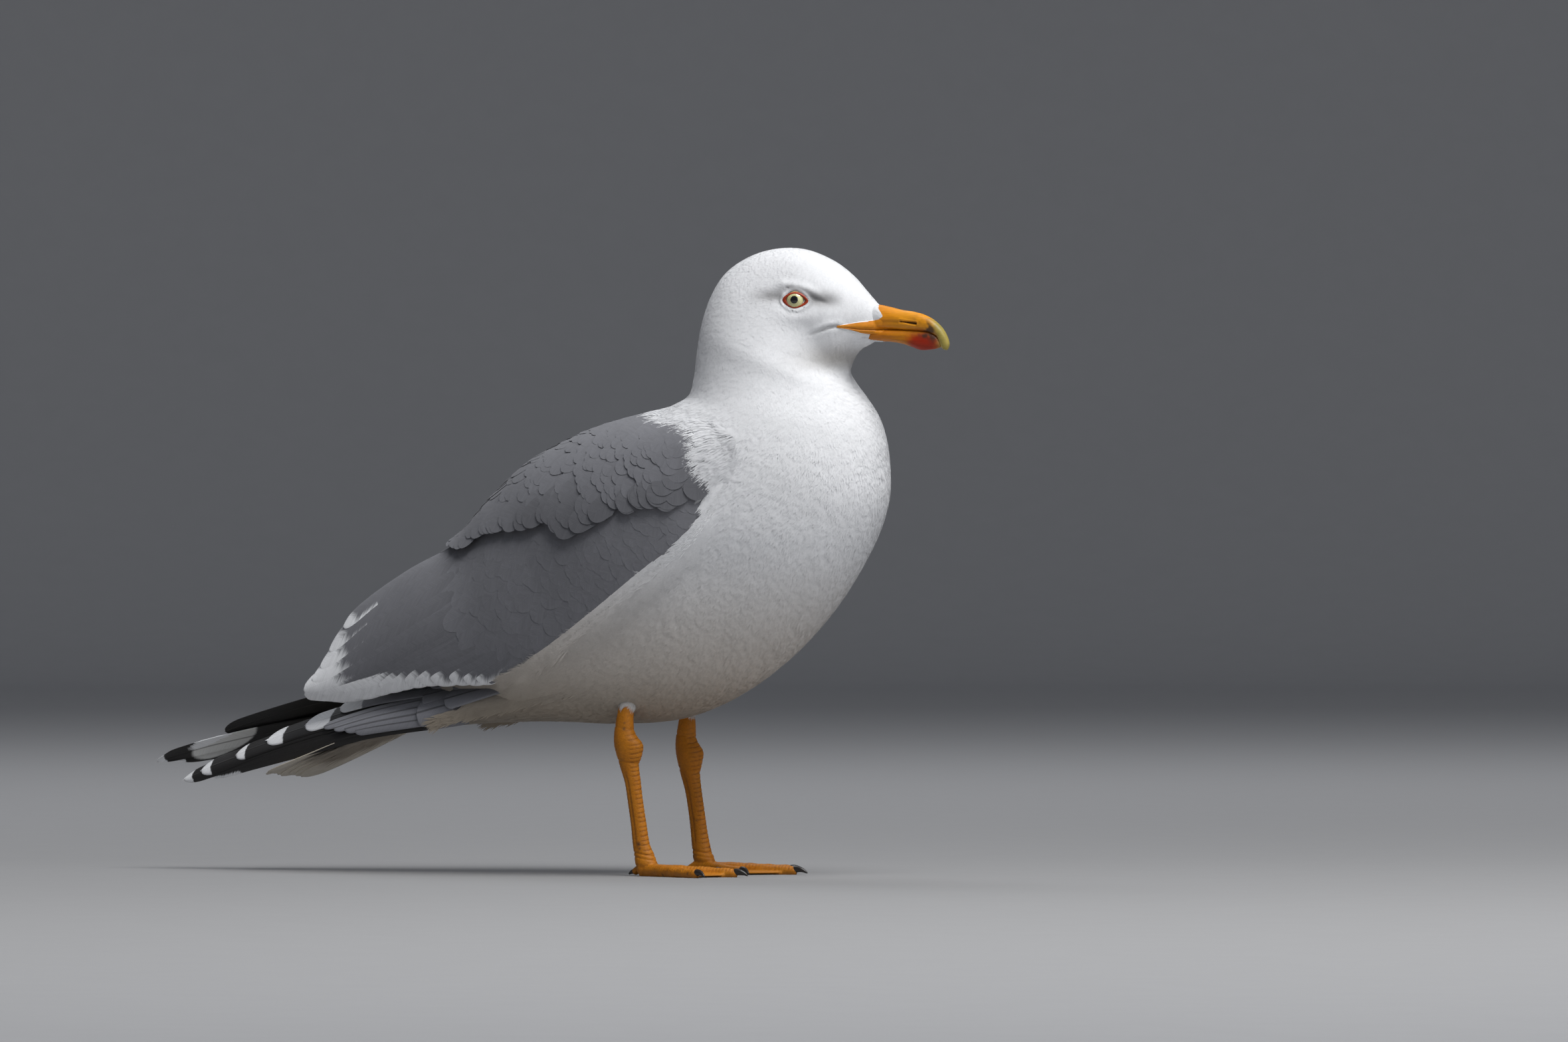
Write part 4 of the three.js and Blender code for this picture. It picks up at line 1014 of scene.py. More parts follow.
def wing_coat():
    for side, label in ((-1, "right"), (1, "left")):
        sheet = WINGS[side]
        g = rng(60 + side)
        box = ((-0.15, 1.22), (-0.12, 1.14))
        piece = Piece()
        # lesser, median and greater coverts
        def keep(P, Q):
            k, v = Q[..., 0], Q[..., 1]
            return (v > wing_front(k) - 0.02) & (v > scapular_edge(k) - 0.16) & (k > 0.02) & (k < 0.995) & (v < 0.62 - 0.12 * k)
        size = lambda P: 5.0 + 3.6 * smooth(95, 0, P[..., 0])
        Q = scatter(sheet, size, keep, 410 + side)
        order = np.argsort(-Q[:, 1])
        Q = Q[order]
        P = sheet.at(Q, "P")
        big = smooth(95, 0, P[:, 0])
        length = 17 + 19 * big + g.normal(0, 1.2, len(Q))
        half = 6.0 + 3.6 * big
        turn = side * (-0.10 * big) + g.normal(0, 0.05, len(Q))
        p1 = Q + sheet.step(Q, length, 0 * length, (0.0, 1.0), turn)
        over = np.maximum(p1[:, 0] - 1.0, 0)
        p1[:, 0] -= over; Q[:, 0] -= over * 0.5
        grey_vanes(piece, sheet, Q, p1, half, -0.15 + g.uniform(-.02, .02, len(Q)), 0.26 + g.uniform(-.03, .05, len(Q)), 61, box, colour=GREY * 1.10, rows=12, cols=7, limit=1.0,
                   tip=0.42, pale=0.12, jitter=0.012, camber=0.05, blend=0.04, stations=1 - (1 - np.linspace(0, 1, 12)) ** 1.5)
        piece.make("coverts_" + label, VANE)

        # mantle and scapulars, a thick cape over the coverts with a scalloped lower edge
        piece = Piece()
        def keep(P, Q):
            k, v = Q[..., 0], Q[..., 1]
            return (v > wing_front(k) - 0.03) & (v < scapular_edge(k) - 0.02) & (k > -0.035) & (k < 0.84)
        size = lambda P: 5.8 + 3.0 * smooth(90, 10, P[..., 0])
        Q = scatter(sheet, size, keep, 430 + side)
        P = sheet.at(Q, "P")
        big = smooth(95, 0, P[:, 0])
        length = 17 + 17 * big + g.normal(0, 1.5, len(Q))
        half = 7.2 + 3.4 * big
        turn = g.normal(0, 0.05, len(Q))
        p1 = Q + sheet.step(Q, length, 0 * length, (0.0, 1.0), turn)
        wave = 0.015 * np.sin(p1[:, 0] * 29 + side) + 0.006 * np.sin(p1[:, 0] * 71) + g.normal(0, 0.003, len(Q))
        past = np.maximum(p1[:, 1] - (scapular_edge(p1[:, 0]) + wave), 0)
        p1[:, 1] -= past
        Q[:, 1] -= past * 0.85
        near = smooth(0.10, 0.0, scapular_edge(p1[:, 0]) - p1[:, 1])
        high = 1.2 + 2.2 * smooth(0.0, 0.14, p1[:, 1] - wing_front(p1[:, 0])) + 0.8 * near + g.uniform(-.03, .03, len(Q))
        low = np.minimum(high - 0.11 - 0.26 * near, 0.4 + 1.5 * smooth(0.0, 0.2, Q[:, 1] - wing_front(Q[:, 0])))
        # painted shade: the scapulars darken towards their scalloped lower edge
        shade = 0.24 * smooth(0.15, 0.03, scapular_edge(p1[:, 0]) - p1[:, 1]) * smooth(0.20, 0.34, p1[:, 0])
        grey_vanes(piece, sheet, Q, p1, half, low, high, 62, box, rows=12, cols=7, tip=0.42, pale=0.05, camber=0.04, jitter=0.014, blend=0.03, colour=GREY[None] * (1.10 - shade)[:, None],
                   stations=1 - (1 - np.linspace(0, 1, 12)) ** 1.5)
        piece.make("scapulars_" + label, VANE)
    # the row down the middle of the back
    def middle(a, v):
        P = wing_point(np.abs(a), v)
        P[..., 1] *= np.where(a < 0, -1.0, 1.0)
        return P
    sheet = Sheet(middle, (-0.22, 0.22, 89), (0.0, 1.0, 400))
    g = rng(66)
    piece = Piece()
    for first, last, gap, tail_end, tall in ((0.52, 0.80, 0.028, 0.90, 0.0), (0.085, 0.56, 0.0125, 0.652, 1.0)):
        v = np.arange(first, last, gap)
        a = g.normal(0, 0.012, len(v))
        Q = np.stack([a, v], -1)
        big = smooth(0.12, 0.4, v)
        L = 20 + 14 * big
        p1 = Q + sheet.step(Q, L, 0 * L)
        over = np.maximum(p1[:, 1] - tail_end, 0)
        p1[:, 1] -= over
        Q[:, 1] -= over * 0.85
        p1[:, 0] = a * 0.5
        high = 0.7 + tall * (0.9 + 2.3 * smooth(0.0, 0.16, p1[:, 1] - 0.107))
        low = np.minimum(high - 0.9, 0.7 + 1.6 * smooth(0.0, 0.2, Q[:, 1] - 0.107)) if tall else high - 1.2
        grey_vanes(piece, sheet, Q, p1, 7.5 + 3.0 * big, low, high, 67, ((-0.22, 0.22), (0, 1.0)), rows=12, cols=9, tip=0.42, pale=0.12, camber=0.0, colour=GREY * 1.08,
                   jitter=0.014, blend=0.05, stations=1 - (1 - np.linspace(0, 1, 12)) ** 1.5)
    piece.make("mantle_middle", VANE)


def wing_quills():
    """Tertials and secondaries with white tips, closing the folded wing behind."""
    for side, label in ((-1, "right"), (1, "left")):
        sheet = WINGS[side]
        box = ((-0.15, 1.22), (-0.12, 1.14))
        piece = Piece()
        rows = [  # root k, v; tip k, v; half width; white tip
            (0.76, 0.30, 0.935, 0.640, 8, 4.5), (0.74, 0.34, 0.925, 0.672, 8, 6.0), (0.71, 0.38, 0.910, 0.704, 8, 7.2),
            (0.69, 0.41, 0.900, 0.738, 8, 8.4), (0.66, 0.44, 0.895, 0.772, 8.2, 9.4), (0.64, 0.46, 0.895, 0.806, 8.2, 10.6),
            (0.62, 0.49, 0.900, 0.842, 8.2, 12.8), (0.60, 0.51, 0.912, 0.878, 8.2, 15.5), (0.57, 0.53, 0.930, 0.917, 8.4, 20.0),
            (0.54, 0.54, 0.955, 0.954, 8.7, 26.0), (0.51, 0.54, 0.970, 0.994, 9.0, 30.0), (0.46, 0.54, 0.90, 1.026, 9.5, 32.0),
            (0.38, 0.54, 0.74, 1.024, 10.0, 30.0), (0.29, 0.54, 0.54, 1.006, 10.5, 25.0), (0.20, 0.55, 0.36, 0.982, 11.0, 20.0),
            (0.12, 0.56, 0.20, 0.947, 11.0, 14.0), (0.05, 0.57, 0.08, 0.903, 10.0, 10.0),
        ]
        t = np.array(rows)
        n = len(t)
        g = rng(70 + side)
        p0, p1 = t[:, 0:2] + g.normal(0, 0.004, (n, 2)), t[:, 2:4] + g.normal(0, 0.003, (n, 2))
        i = np.arange(n)
        low = -1.6 + 0.05 * i
        high = 0.0 + 0.11 * i
        stations = 1 - (1 - np.linspace(0, 1, 26)) ** 1.6
        grey_vanes(piece, sheet, p0, p1, t[:, 4], low, high, 71, box, rows=26, cols=13, tip=0.16, pale=0.10, camber=0.5,
                   white=t[:, 5], stations=stations, sweep=side * -1.5, jitter=0.03)
        quills = piece.make("quills_" + label, VANE)
        thick(quills, 0.35)


def thick(piece, mm):
    m = piece.modifiers.new("thickness", "SOLIDIFY")
    m.thickness = mm * MM
    m.offset = 0.0
    m.use_rim = True
    return m


# ---------------------------------------------------------------- flight feathers of the hand and the tail
def quill_material(name, rough=0.5):
    """Long stiff feathers: signed distances carried by the mesh say where black and white begin."""
    m, t, b = principled(name, rough=rough, specular=0.4, sheen=0.04)
    tint = attribute(t, "tint").outputs["Color"]
    along, across = attribute(t, "mm_s").outputs["Fac"], attribute(t, "mm_r").outputs["Fac"]
    seed = attribute(t, "seed").outputs["Fac"]
    slant = calc(t, "SUBTRACT", along, calc(t, "MULTIPLY", calc(t, "ABSOLUTE", across), 0.9))
    vec = node(t, "ShaderNodeCombineXYZ", inputs={0: calc(t, "MULTIPLY", slant, 1.9), 1: calc(t, "MULTIPLY", across, 0.12), 2: calc(t, "MULTIPLY", seed, 53.0)}).outputs[0]
    barbs = node(t, "ShaderNodeTexNoise", inputs={"Vector": vec, "Scale": 1.0, "Detail": 3.0, "Roughness": 0.6}).outputs["Fac"]
    fray = calc(t, "MULTIPLY", calc(t, "SUBTRACT", barbs, 0.5), 3.0)
    black = remap(t, calc(t, "ADD", attribute(t, "black").outputs["Fac"], calc(t, "MULTIPLY", fray, 1.6)), -5.0, 5.0)
    white = remap(t, calc(t, "ADD", attribute(t, "white").outputs["Fac"], fray), -0.7, 0.7)
    value = remap(t, barbs, 0.25, 0.75, 0.88, 1.04)
    dark = mix(t, black, tint, (0.0135, 0.0122, 0.0118))
    body = mix(t, white, dark, tuple(WHITE * 0.97))
    shaft = remap(t, calc(t, "ABSOLUTE", across), 0.25, 0.75, 0.55, 0.0)
    shafted = mix(t, calc(t, "MULTIPLY", shaft, calc(t, "SUBTRACT", 1.0, white)), body, (0.022, 0.020, 0.018))
    t.links.new(mix(t, 1.0, shafted, node(t, "ShaderNodeCombineColor", inputs={0: value, 1: value, 2: value}).outputs[0], "MULTIPLY"), b.inputs["Base Color"])
    ridge = calc(t, "ADD", calc(t, "MULTIPLY", barbs, 0.7), calc(t, "MULTIPLY", remap(t, calc(t, "ABSOLUTE", across), 0.0, 0.8, 1.0, 0.0), 1.2))
    t.links.new(bump(t, ridge, 0.00025, 0.6), b.inputs["Normal"])
    return m


QUILL = quill_material("plumage_black")


def blades(name, sheet, spec, tint, material, rows=60, cols=11, thickness=0.4, tip=0.10, seed=1, camber=0.6, patch=None, sink=0.0):
    """Long feathers. spec rows: root a, b; tip a, b; half width root, half width, rise root, rise tip, white mm, black begins mm, sweep, fray."""
    t = np.array(spec, float)
    n = len(t)
    g = rng(seed)
    p0, p1 = t[:, 0:2], t[:, 2:4]
    stations = 1 - (1 - np.linspace(0, 1, rows)) ** 1.25
    s = stations
    length = np.linalg.norm(sheet.at(p1, "P") - sheet.at(p0, "P"), axis=-1)
    end = np.clip((s - (1 - tip)) / tip, 0, 1)
    mid = t[:, 5][:, None]
    profile = (t[:, 4][:, None] / mid) + (1 - t[:, 4][:, None] / mid) * smooth(0, 0.35, s)[None]
    profile = profile * (1 - 0.18 * s[None] ** 2) * np.maximum((1 - end[None] ** 2.2), 0.0) ** 0.5 + 0.02
    rise = t[:, 6][:, None] * (1 - s) + t[:, 7][:, None] * s - sink * smooth(0.16, 0.0, s)[None]
    X, N, S, R = lay(sheet, p0, p1, mid[:, 0], rise, rows=rows, cols=cols, profile=profile, camber=camber, sweep=t[:, 10], stations=s)
    # frayed ends: the last barbs run out unevenly
    fray = t[:, 11][:, None, None] * g.uniform(-1, 1, (n, 1, cols)) * smooth(0.93, 1.0, S)
    along = norm(np.gradient(X, axis=1))
    X = X + along * fray[..., None]
    mm_s = S * length[:, None, None]
    mm_r = R * (mid[:, :, None] * profile[:, :, None])
    white = t[:, 8][:, None, None] - (1 - S) * length[:, None, None] + np.abs(R) * 1.2 - 0.8
    white = np.where(t[:, 8][:, None, None] > 0, white, -50.0)
    black = mm_s - t[:, 9][:, None, None] - 14 * R
    ident = g.random(n)[:, None, None]
    cells = int(math.ceil(math.sqrt(n)))
    cell = np.arange(n)
    cx, cy = cell % cells, cell // cells
    uv = np.stack([(cx[:, None, None] + 0.08 + 0.84 * (R + 1) / 2) / cells, (cy[:, None, None] + 0.04 + 0.92 * S) / cells], -1)
    tone = np.broadcast_to(np.asarray(tint)[None, None, None], X.shape) * (1 + g.normal(0, 0.02, n)[:, None, None, None])
    if patch is not None:
        tone, white, black = patch(tone, white, black, X)
    piece = build(name, X.reshape(-1, 3), grid_quads(n, rows, cols), uv=uv.reshape(-1, 2), colours={"tint": tone.reshape(-1, 3)},
                  floats={"mm_s": mm_s.ravel(), "mm_r": mm_r.ravel(), "white": white.ravel(), "black": black.ravel(),
                          "seed": np.broadcast_to(ident, S.shape).ravel()}, material=material)
    thick(piece, thickness)
    print(name, "blades", n)
    return piece


def hand_quills():
    none = -1.0
    near = [  # outermost first, so that it lies lowest
        (0.91, -0.05, 0.82, 0.875, 8.6, 5.8, -1.4, -1.2, 0, 4, 0, 0.4),         # P10
        (0.82, -0.05, 0.52, 1.015, 8.5, 7.0, -0.9, -0.6, 9.5, 5, 0, 0.9),       # P9
        (0.64, -0.05, 0.42, 0.920, 9.0, 7.8, -0.4, 0.0, 11.0, 6, 0, 1.0),       # P8
        (0.58, -0.05, 0.40, 0.735, 9.5, 8.2, 0.1, 0.6, 10.0, 8, 0, 1.2),        # P7
        (0.50, -0.05, 0.36, 0.590, 10.0, 9.0, 0.6, 1.2, 13.5, 12, 0, 2.2),      # P6
        (0.42, -0.05, 0.36, 0.450, 10.0, 9.6, 1.1, 1.8, 20.0, 22, 0, 2.6),      # P5
        (1.00, -0.06, 0.86, 0.250, 5.0, 4.2, 1.2, 1.7, none, 900, 0, 0.2),      # grey outer webs, fanning
        (0.86, -0.06, 0.78, 0.285, 5.0, 4.2, 1.5, 2.0, none, 900, 0, 0.2),
        (0.70, -0.06, 0.70, 0.325, 5.0, 4.2, 1.8, 2.3, none, 900, 0, 0.2),
        (0.54, -0.06, 0.60, 0.365, 5.0, 4.2, 2.1, 2.6, none, 900, 0, 0.2),
        (0.30, -0.06, 0.26, 0.330, 9.0, 8.0, 2.3, 3.1, 18.0, 900, 0, 0.8),      # innermost, white tipped
        (0.78, -0.08, 0.84, 0.050, 9.0, 9.5, 2.4, 3.3, none, 900, 0, 0.2),      # primary coverts
        (0.40, -0.08, 0.50, 0.035, 9.0, 9.5, 2.6, 3.6, none, 900, 0, 0.2),
        (0.52, -0.34, 0.72, -0.040, 7.0, 7.5, 3.2, 4.6, none, 900, 0, 0.2),     # the wrist's coverts, in a wedge under the white edge
        (0.28, -0.36, 0.40, -0.060, 7.0, 7.5, 3.4, 4.8, none, 900, 0, 0.2),
        (0.12, -0.34, 0.24, 0.020, 7.0, 7.5, 2.9, 4.1, none, 900, 0, 0.2),
    ]

    def edging(tone, white, black, X):
        """A white line along the lower edge of the outermost feather, near its tip."""
        h = (0.9063 * X[0, ..., 0] + 0.4226 * X[0, ..., 1]) / 0.4 + 834.5
        low = 0 if X[0, 30, 0, 2] < X[0, 30, -1, 2] else -1
        away = np.linalg.norm(X[0] - X[0][:, low][:, None], axis=-1)
        line = 1.5 - away - 4.0 * smooth(352, 362, h)
        white = white.copy()
        white[0] = np.maximum(white[0], line)
        return tone, white, black
    # painted light: the near hand's grey webs and coverts are tinted lighter than the far hand's, against the shade the
    # wing's skirt casts on them
    blades("primaries_near", HANDS[-1], near, GREY * 1.55, QUILL, seed=5, sink=16.0, patch=edging)
    far = [
        (0.80, -0.05, 0.30, 1.075, 8.0, 7.0, -1.4, -1.2, 7.5, 10, 0, 0.5),      # P10
        (0.72, -0.05, 0.70, 1.000, 8.5, 7.0, -0.8, -0.5, 7.5, 10, 0, 0.6),
        (0.30, -0.05, 0.10, 0.770, 9.0, 7.5, -0.3, 0.1, 0, 10, 0, 0.9),
        (0.56, -0.05, 0.40, 0.770, 9.5, 8.0, 0.2, 0.7, 0, 10, 0, 0.8),
        (0.48, -0.05, 0.38, 0.650, 10.0, 8.8, 0.7, 1.3, 12.0, 12, 0, 1.4),
        (0.42, -0.05, 0.42, 0.545, 10.0, 9.0, 1.2, 1.9, 15.0, 22, 0, 1.8),
        (0.50, -0.06, 0.62, 0.400, 9.0, 8.0, 1.7, 2.5, none, 900, 0, 0.3),
        (0.38, -0.06, 0.50, 0.360, 9.0, 8.0, 2.2, 3.1, 16.0, 900, 0, 0.6),
        (0.62, -0.08, 0.80, 0.050, 9.0, 8.6, 2.4, 3.3, none, 900, 0, 0.2),
        (0.30, -0.08, 0.60, 0.035, 9.0, 8.6, 2.6, 3.6, none, 900, 0, 0.2),
    ]

    def mirror(tone, white, black, X):
        """The outermost feathers' white mirror near the tip, seen from inside the far wing: painted shade turns it
        grey, all but a white rim along its upper edge where the light catches it.
        """
        h = (0.9063 * X[..., 0] + 0.4226 * X[..., 1]) / 0.4 + 834.5
        w = 1310 - X[..., 2] / 0.4
        dx, dw = h - 327, w - 1115
        c, s_ = 0.913, 0.408
        along, up = dx * c - dw * s_, -(dx * s_ + dw * c)
        pale = 1 - np.abs(along / 54) ** 2.4 - np.abs(up / 18) ** 2.0
        rim = 1 - np.abs((along + 8) / 46) ** 2.4 - np.abs((up - 11) / 7) ** 2.0
        pick = np.zeros(X.shape[:-1], bool)
        pick[:2] = True
        black = np.where(pick, np.where(pale > -0.6, -30 * pale, black), black)
        # painted shade: the mirror's white is coloured grey
        tone = np.where((pick & (pale > -0.3))[..., None], np.array([0.68, 0.68, 0.66]), tone)
        white = np.where(pick & (rim > -0.5), np.maximum(white, rim * 2), white)
        return tone, white, black
    blades("primaries_far", HANDS[1], far, GREY * 1.30, QUILL, seed=6, patch=mirror, sink=16.0)


def tail_point(side_out):
    length = math.hypot(TAIL_ROOT[0] - TAIL_TIP[0], TAIL_ROOT[1] - TAIL_TIP[1])

    def place(a, b):
        half = TAIL_HALF_ROOT + (TAIL_HALF_TIP - TAIL_HALF_ROOT) * b
        held = np.where(a < 0, smooth(0.15, 0.55, b), 0.0)      # the near half lies flatter and narrower, against the primaries
        drop = (1.5 * a * a + 1.5 * np.maximum(-a, 0)) * (1 - 0.85 * held) + 3.0 * np.maximum(a, 0) * smooth(0.0, 0.8, b)
        half = half * (1 - 0.14 * held)
        return np.stack([TAIL_ROOT[0] + (TAIL_TIP[0] - TAIL_ROOT[0]) * b, half * a,
                         TAIL_ROOT[1] + (TAIL_TIP[1] - TAIL_ROOT[1]) * b - drop + side_out], -1)
    return place


def fan_feathers():
    top = Sheet(tail_point(0.0), (-1.6, 1.6, 240), (-0.4, 1.12, 240))
    spec = []
    for j in range(6):
        for side in (-1, 1):
            x0, x1 = side * (0.06 + 0.15 * j), side * (0.075 + 0.168 * j)
            spec.append((x0, -0.10, x1, 1.0 - 0.012 * j * (j > 2), 4.8, 9.6, 0.9 - 0.30 * j + 0.05 * (side > 0), 0.9 - 0.30 * j + 0.05 * (side > 0),
                         -1, 900, side * 0.8, 0.5))
    spec = spec[::-1]
    # painted shade, in part stain: the white tail feathers are tinted a dark warm beige
    blades("tail_feathers", top, spec, np.array([0.56, 0.505, 0.42]), TAILMAT, seed=8, rows=40, cols=9, tip=0.12, thickness=0.45, camber=0.15)
    # coverts above and below the tail's root
    for up, name, count_gap, reach in ((1, "coat_rump", 4.2, 0.42), (-1, "coat_vent", 4.0, 0.62)):
        sheet = Sheet(tail_point(2.2 * up), (-1.6, 1.6, 200), (-0.4, 1.12, 240))
        if up < 0:
            sheet.N = -sheet.N
        keep = lambda P, Q: (np.abs(Q[..., 0]) < 0.95 - 0.75 * np.maximum(Q[..., 1] - 0.1, 0)) & (Q[..., 1] < reach) & (Q[..., 1] > -0.30)
        Q = scatter(sheet, lambda P: count_gap + 0 * P[..., 0], keep, 500 + up)
        box = ((-1.6, 1.6), (-0.4, 1.12))
        piece = Piece()
        P = sheet.at(Q, "P")
        L = 17 + 8 * smooth(-0.1, 0.5, Q[:, 1])
        tufts(piece, sheet, Q, L, 6.5, 9, 0.42, -0.6, 2.2 - 1.4 * smooth(0.1, reach, Q[:, 1]), white_marks, 31 + up, box, shade=0.03)
        piece.make(name, DOWN)


def tail_material():
    m, t, b = principled("plumage_tail", rough=0.7, specular=0.3, sheen=0.08)
    tint = attribute(t, "tint").outputs["Color"]
    along, across = attribute(t, "mm_s").outputs["Fac"], attribute(t, "mm_r").outputs["Fac"]
    slant = calc(t, "SUBTRACT", along, calc(t, "MULTIPLY", calc(t, "ABSOLUTE", across), 0.9))
    vec = node(t, "ShaderNodeCombineXYZ", inputs={0: calc(t, "MULTIPLY", slant, 1.6), 1: calc(t, "MULTIPLY", across, 0.1), 2: calc(t, "MULTIPLY", attribute(t, "seed").outputs["Fac"], 53.0)}).outputs[0]
    barbs = node(t, "ShaderNodeTexNoise", inputs={"Vector": vec, "Scale": 1.0, "Detail": 3.0, "Roughness": 0.6}).outputs["Fac"]
    value = remap(t, barbs, 0.25, 0.75, 0.93, 1.0)
    shaft = remap(t, calc(t, "ABSOLUTE", across), 0.2, 0.7, 0.30, 0.0)
    shafted = mix(t, shaft, tint, (0.60, 0.57, 0.52))
    t.links.new(mix(t, 1.0, shafted, node(t, "ShaderNodeCombineColor", inputs={0: value, 1: value, 2: value}).outputs[0], "MULTIPLY"), b.inputs["Base Color"])
    ridge = calc(t, "ADD", calc(t, "MULTIPLY", barbs, 0.7), calc(t, "MULTIPLY", remap(t, calc(t, "ABSOLUTE", across), 0.0, 0.7, 1.0, 0.0), 1.2))
    t.links.new(bump(t, ridge, 0.0002, 0.5), b.inputs["Normal"])
    return m


TAILMAT = tail_material()


# ---------------------------------------------------------------- bill
def bill_material():
    """Horn: colour laid by the mesh, with fine growth streaks along it and a waxy shine."""
    m, t, b = principled("bill_horn", rough=0.42, specular=0.34, coat=0.06, coat_rough=0.3)
    tint = attribute(t, "tint").outputs["Color"]
    streak = noise(t, 1.0, 4.0, 0.6, stretch=(140.0, 900.0, 900.0))
    mottle = noise(t, 260.0, 3.0, 0.5)
    value = calc(t, "ADD", remap(t, streak, 0.3, 0.7, 0.90, 1.03), remap(t, mottle, 0.35, 0.65, -0.04, 0.02))
    t.links.new(mix(t, 1.0, tint, node(t, "ShaderNodeCombineColor", inputs={0: value, 1: value, 2: value}).outputs[0], "MULTIPLY"), b.inputs["Base Color"])
    t.links.new(bump(t, calc(t, "ADD", streak, calc(t, "MULTIPLY", mottle, 0.5)), 0.00012, 0.5), b.inputs["Normal"])
    return m


ORANGE = np.array([0.69, 0.240, 0.006])
YELLOW_DEEP = np.array([0.73, 0.290, 0.009])
PALE_TIP = np.array([0.37, 0.295, 0.068])
RED = np.array([0.34, 0.013, 0.002])
SOOT = np.array([0.045, 0.028, 0.018])


def blob(P, x, z, rx, rz, turn=0.0, power=2.0):
    c, s = math.cos(turn), math.sin(turn)
    dx, dz = P[..., 0] - x, P[..., 2] - z
    u, w = (dx * c + dz * s) / rx, (-dx * s + dz * c) / rz
    return np.exp(-((np.abs(u) ** power + np.abs(w) ** power)))


def speckle(P, scale, seed):
    """Cheap smooth noise from a few sines, -1..1."""
    g = rng(seed)
    total = 0
    for _ in range(6):
        w = g.normal(0, 1, 3)
        w = w / np.linalg.norm(w) * scale * g.uniform(0.6, 1.8)
        total = total + np.sin(P @ w + g.uniform(0, 6.28))
    return total / 3.2


def bill_colour(P, lower):
    n = speckle(P, 1.1, 3) * 0.5 + speckle(P, 3.0, 4) * 0.3
    x = P[..., 0]
    base = ORANGE + (YELLOW_DEEP - ORANGE) * smooth(214, 236, x)[..., None]
    pale = smooth(246.0, 253.0, x + 0.5 * n - 0.30 * (333 - P[..., 2]))[..., None]
    if lower:
        pale = smooth(251.0, 255.0, x + 0.4 * n)[..., None]
    # painted shade: the lower mandible is darker and browner than the upper
    if lower:
        base = base * np.array([0.76, 0.68, 0.6])
    c = base * (1 - pale) + PALE_TIP * pale
    if lower:
        red = 0.95 * smooth(0.14, 0.80, blob(P, 244.6, 317.2, 11.0, 7.8, 0.06, 2.2) + 0.12 * n)
        deep = smooth(0.35, 0.95, blob(P, 247.0, 319.0, 7.0, 3.6, 0.1, 2.0))[..., None]
        c = c * (1 - 0.35 * deep)
    else:
        red = 0.62 * smooth(0.20, 0.85, blob(P, 244.0, 323.0, 10.0, 3.8, -0.12, 2.0) + 0.12 * n)
    c = c * (1 - red[..., None]) + RED * red[..., None]
    if not lower:
        soot = 0.95 * blob(P, 250.6, 325.6, 3.0, 1.5, 0.35) + 0.75 * blob(P, 249.4, 328.8, 1.1, 2.8, 0.55) + 0.7 * blob(P, 247.6, 325.4, 2.2, 1.2, -0.3)
        soot = soot + 0.34 * blob(P, 241.5, 331.4, 5.0, 2.0, -0.2) + 0.55 * blob(P, 245.0, 324.6, 6.5, 1.0, 0.05) + 0.30 * blob(P, 248.0, 327.0, 4.5, 4.0)
        soot = np.clip(soot * (0.85 + 0.95 * n), 0, 0.9)
    else:
        soot = 0.95 * blob(P, 248.6, 321.6, 4.2, 1.9, 0.1) + 0.5 * blob(P, 251.2, 319.4, 2.0, 2.4) + 0.45 * blob(P, 244.0, 322.6, 5.5, 1.2)
        soot = np.clip(soot * (0.9 + 0.95 * n), 0, 0.88)
    c = c * (1 - soot[..., None]) + SOOT * soot[..., None]
    edge = smooth(212, 200, x) * 0.25
    c = c * (1 - edge[..., None]) + np.array([0.42, 0.17, 0.012]) * edge[..., None]
    plumed = ~inside(BARE, P[..., 0], P[..., 2])
    return np.where(plumed[..., None], WHITE, c)


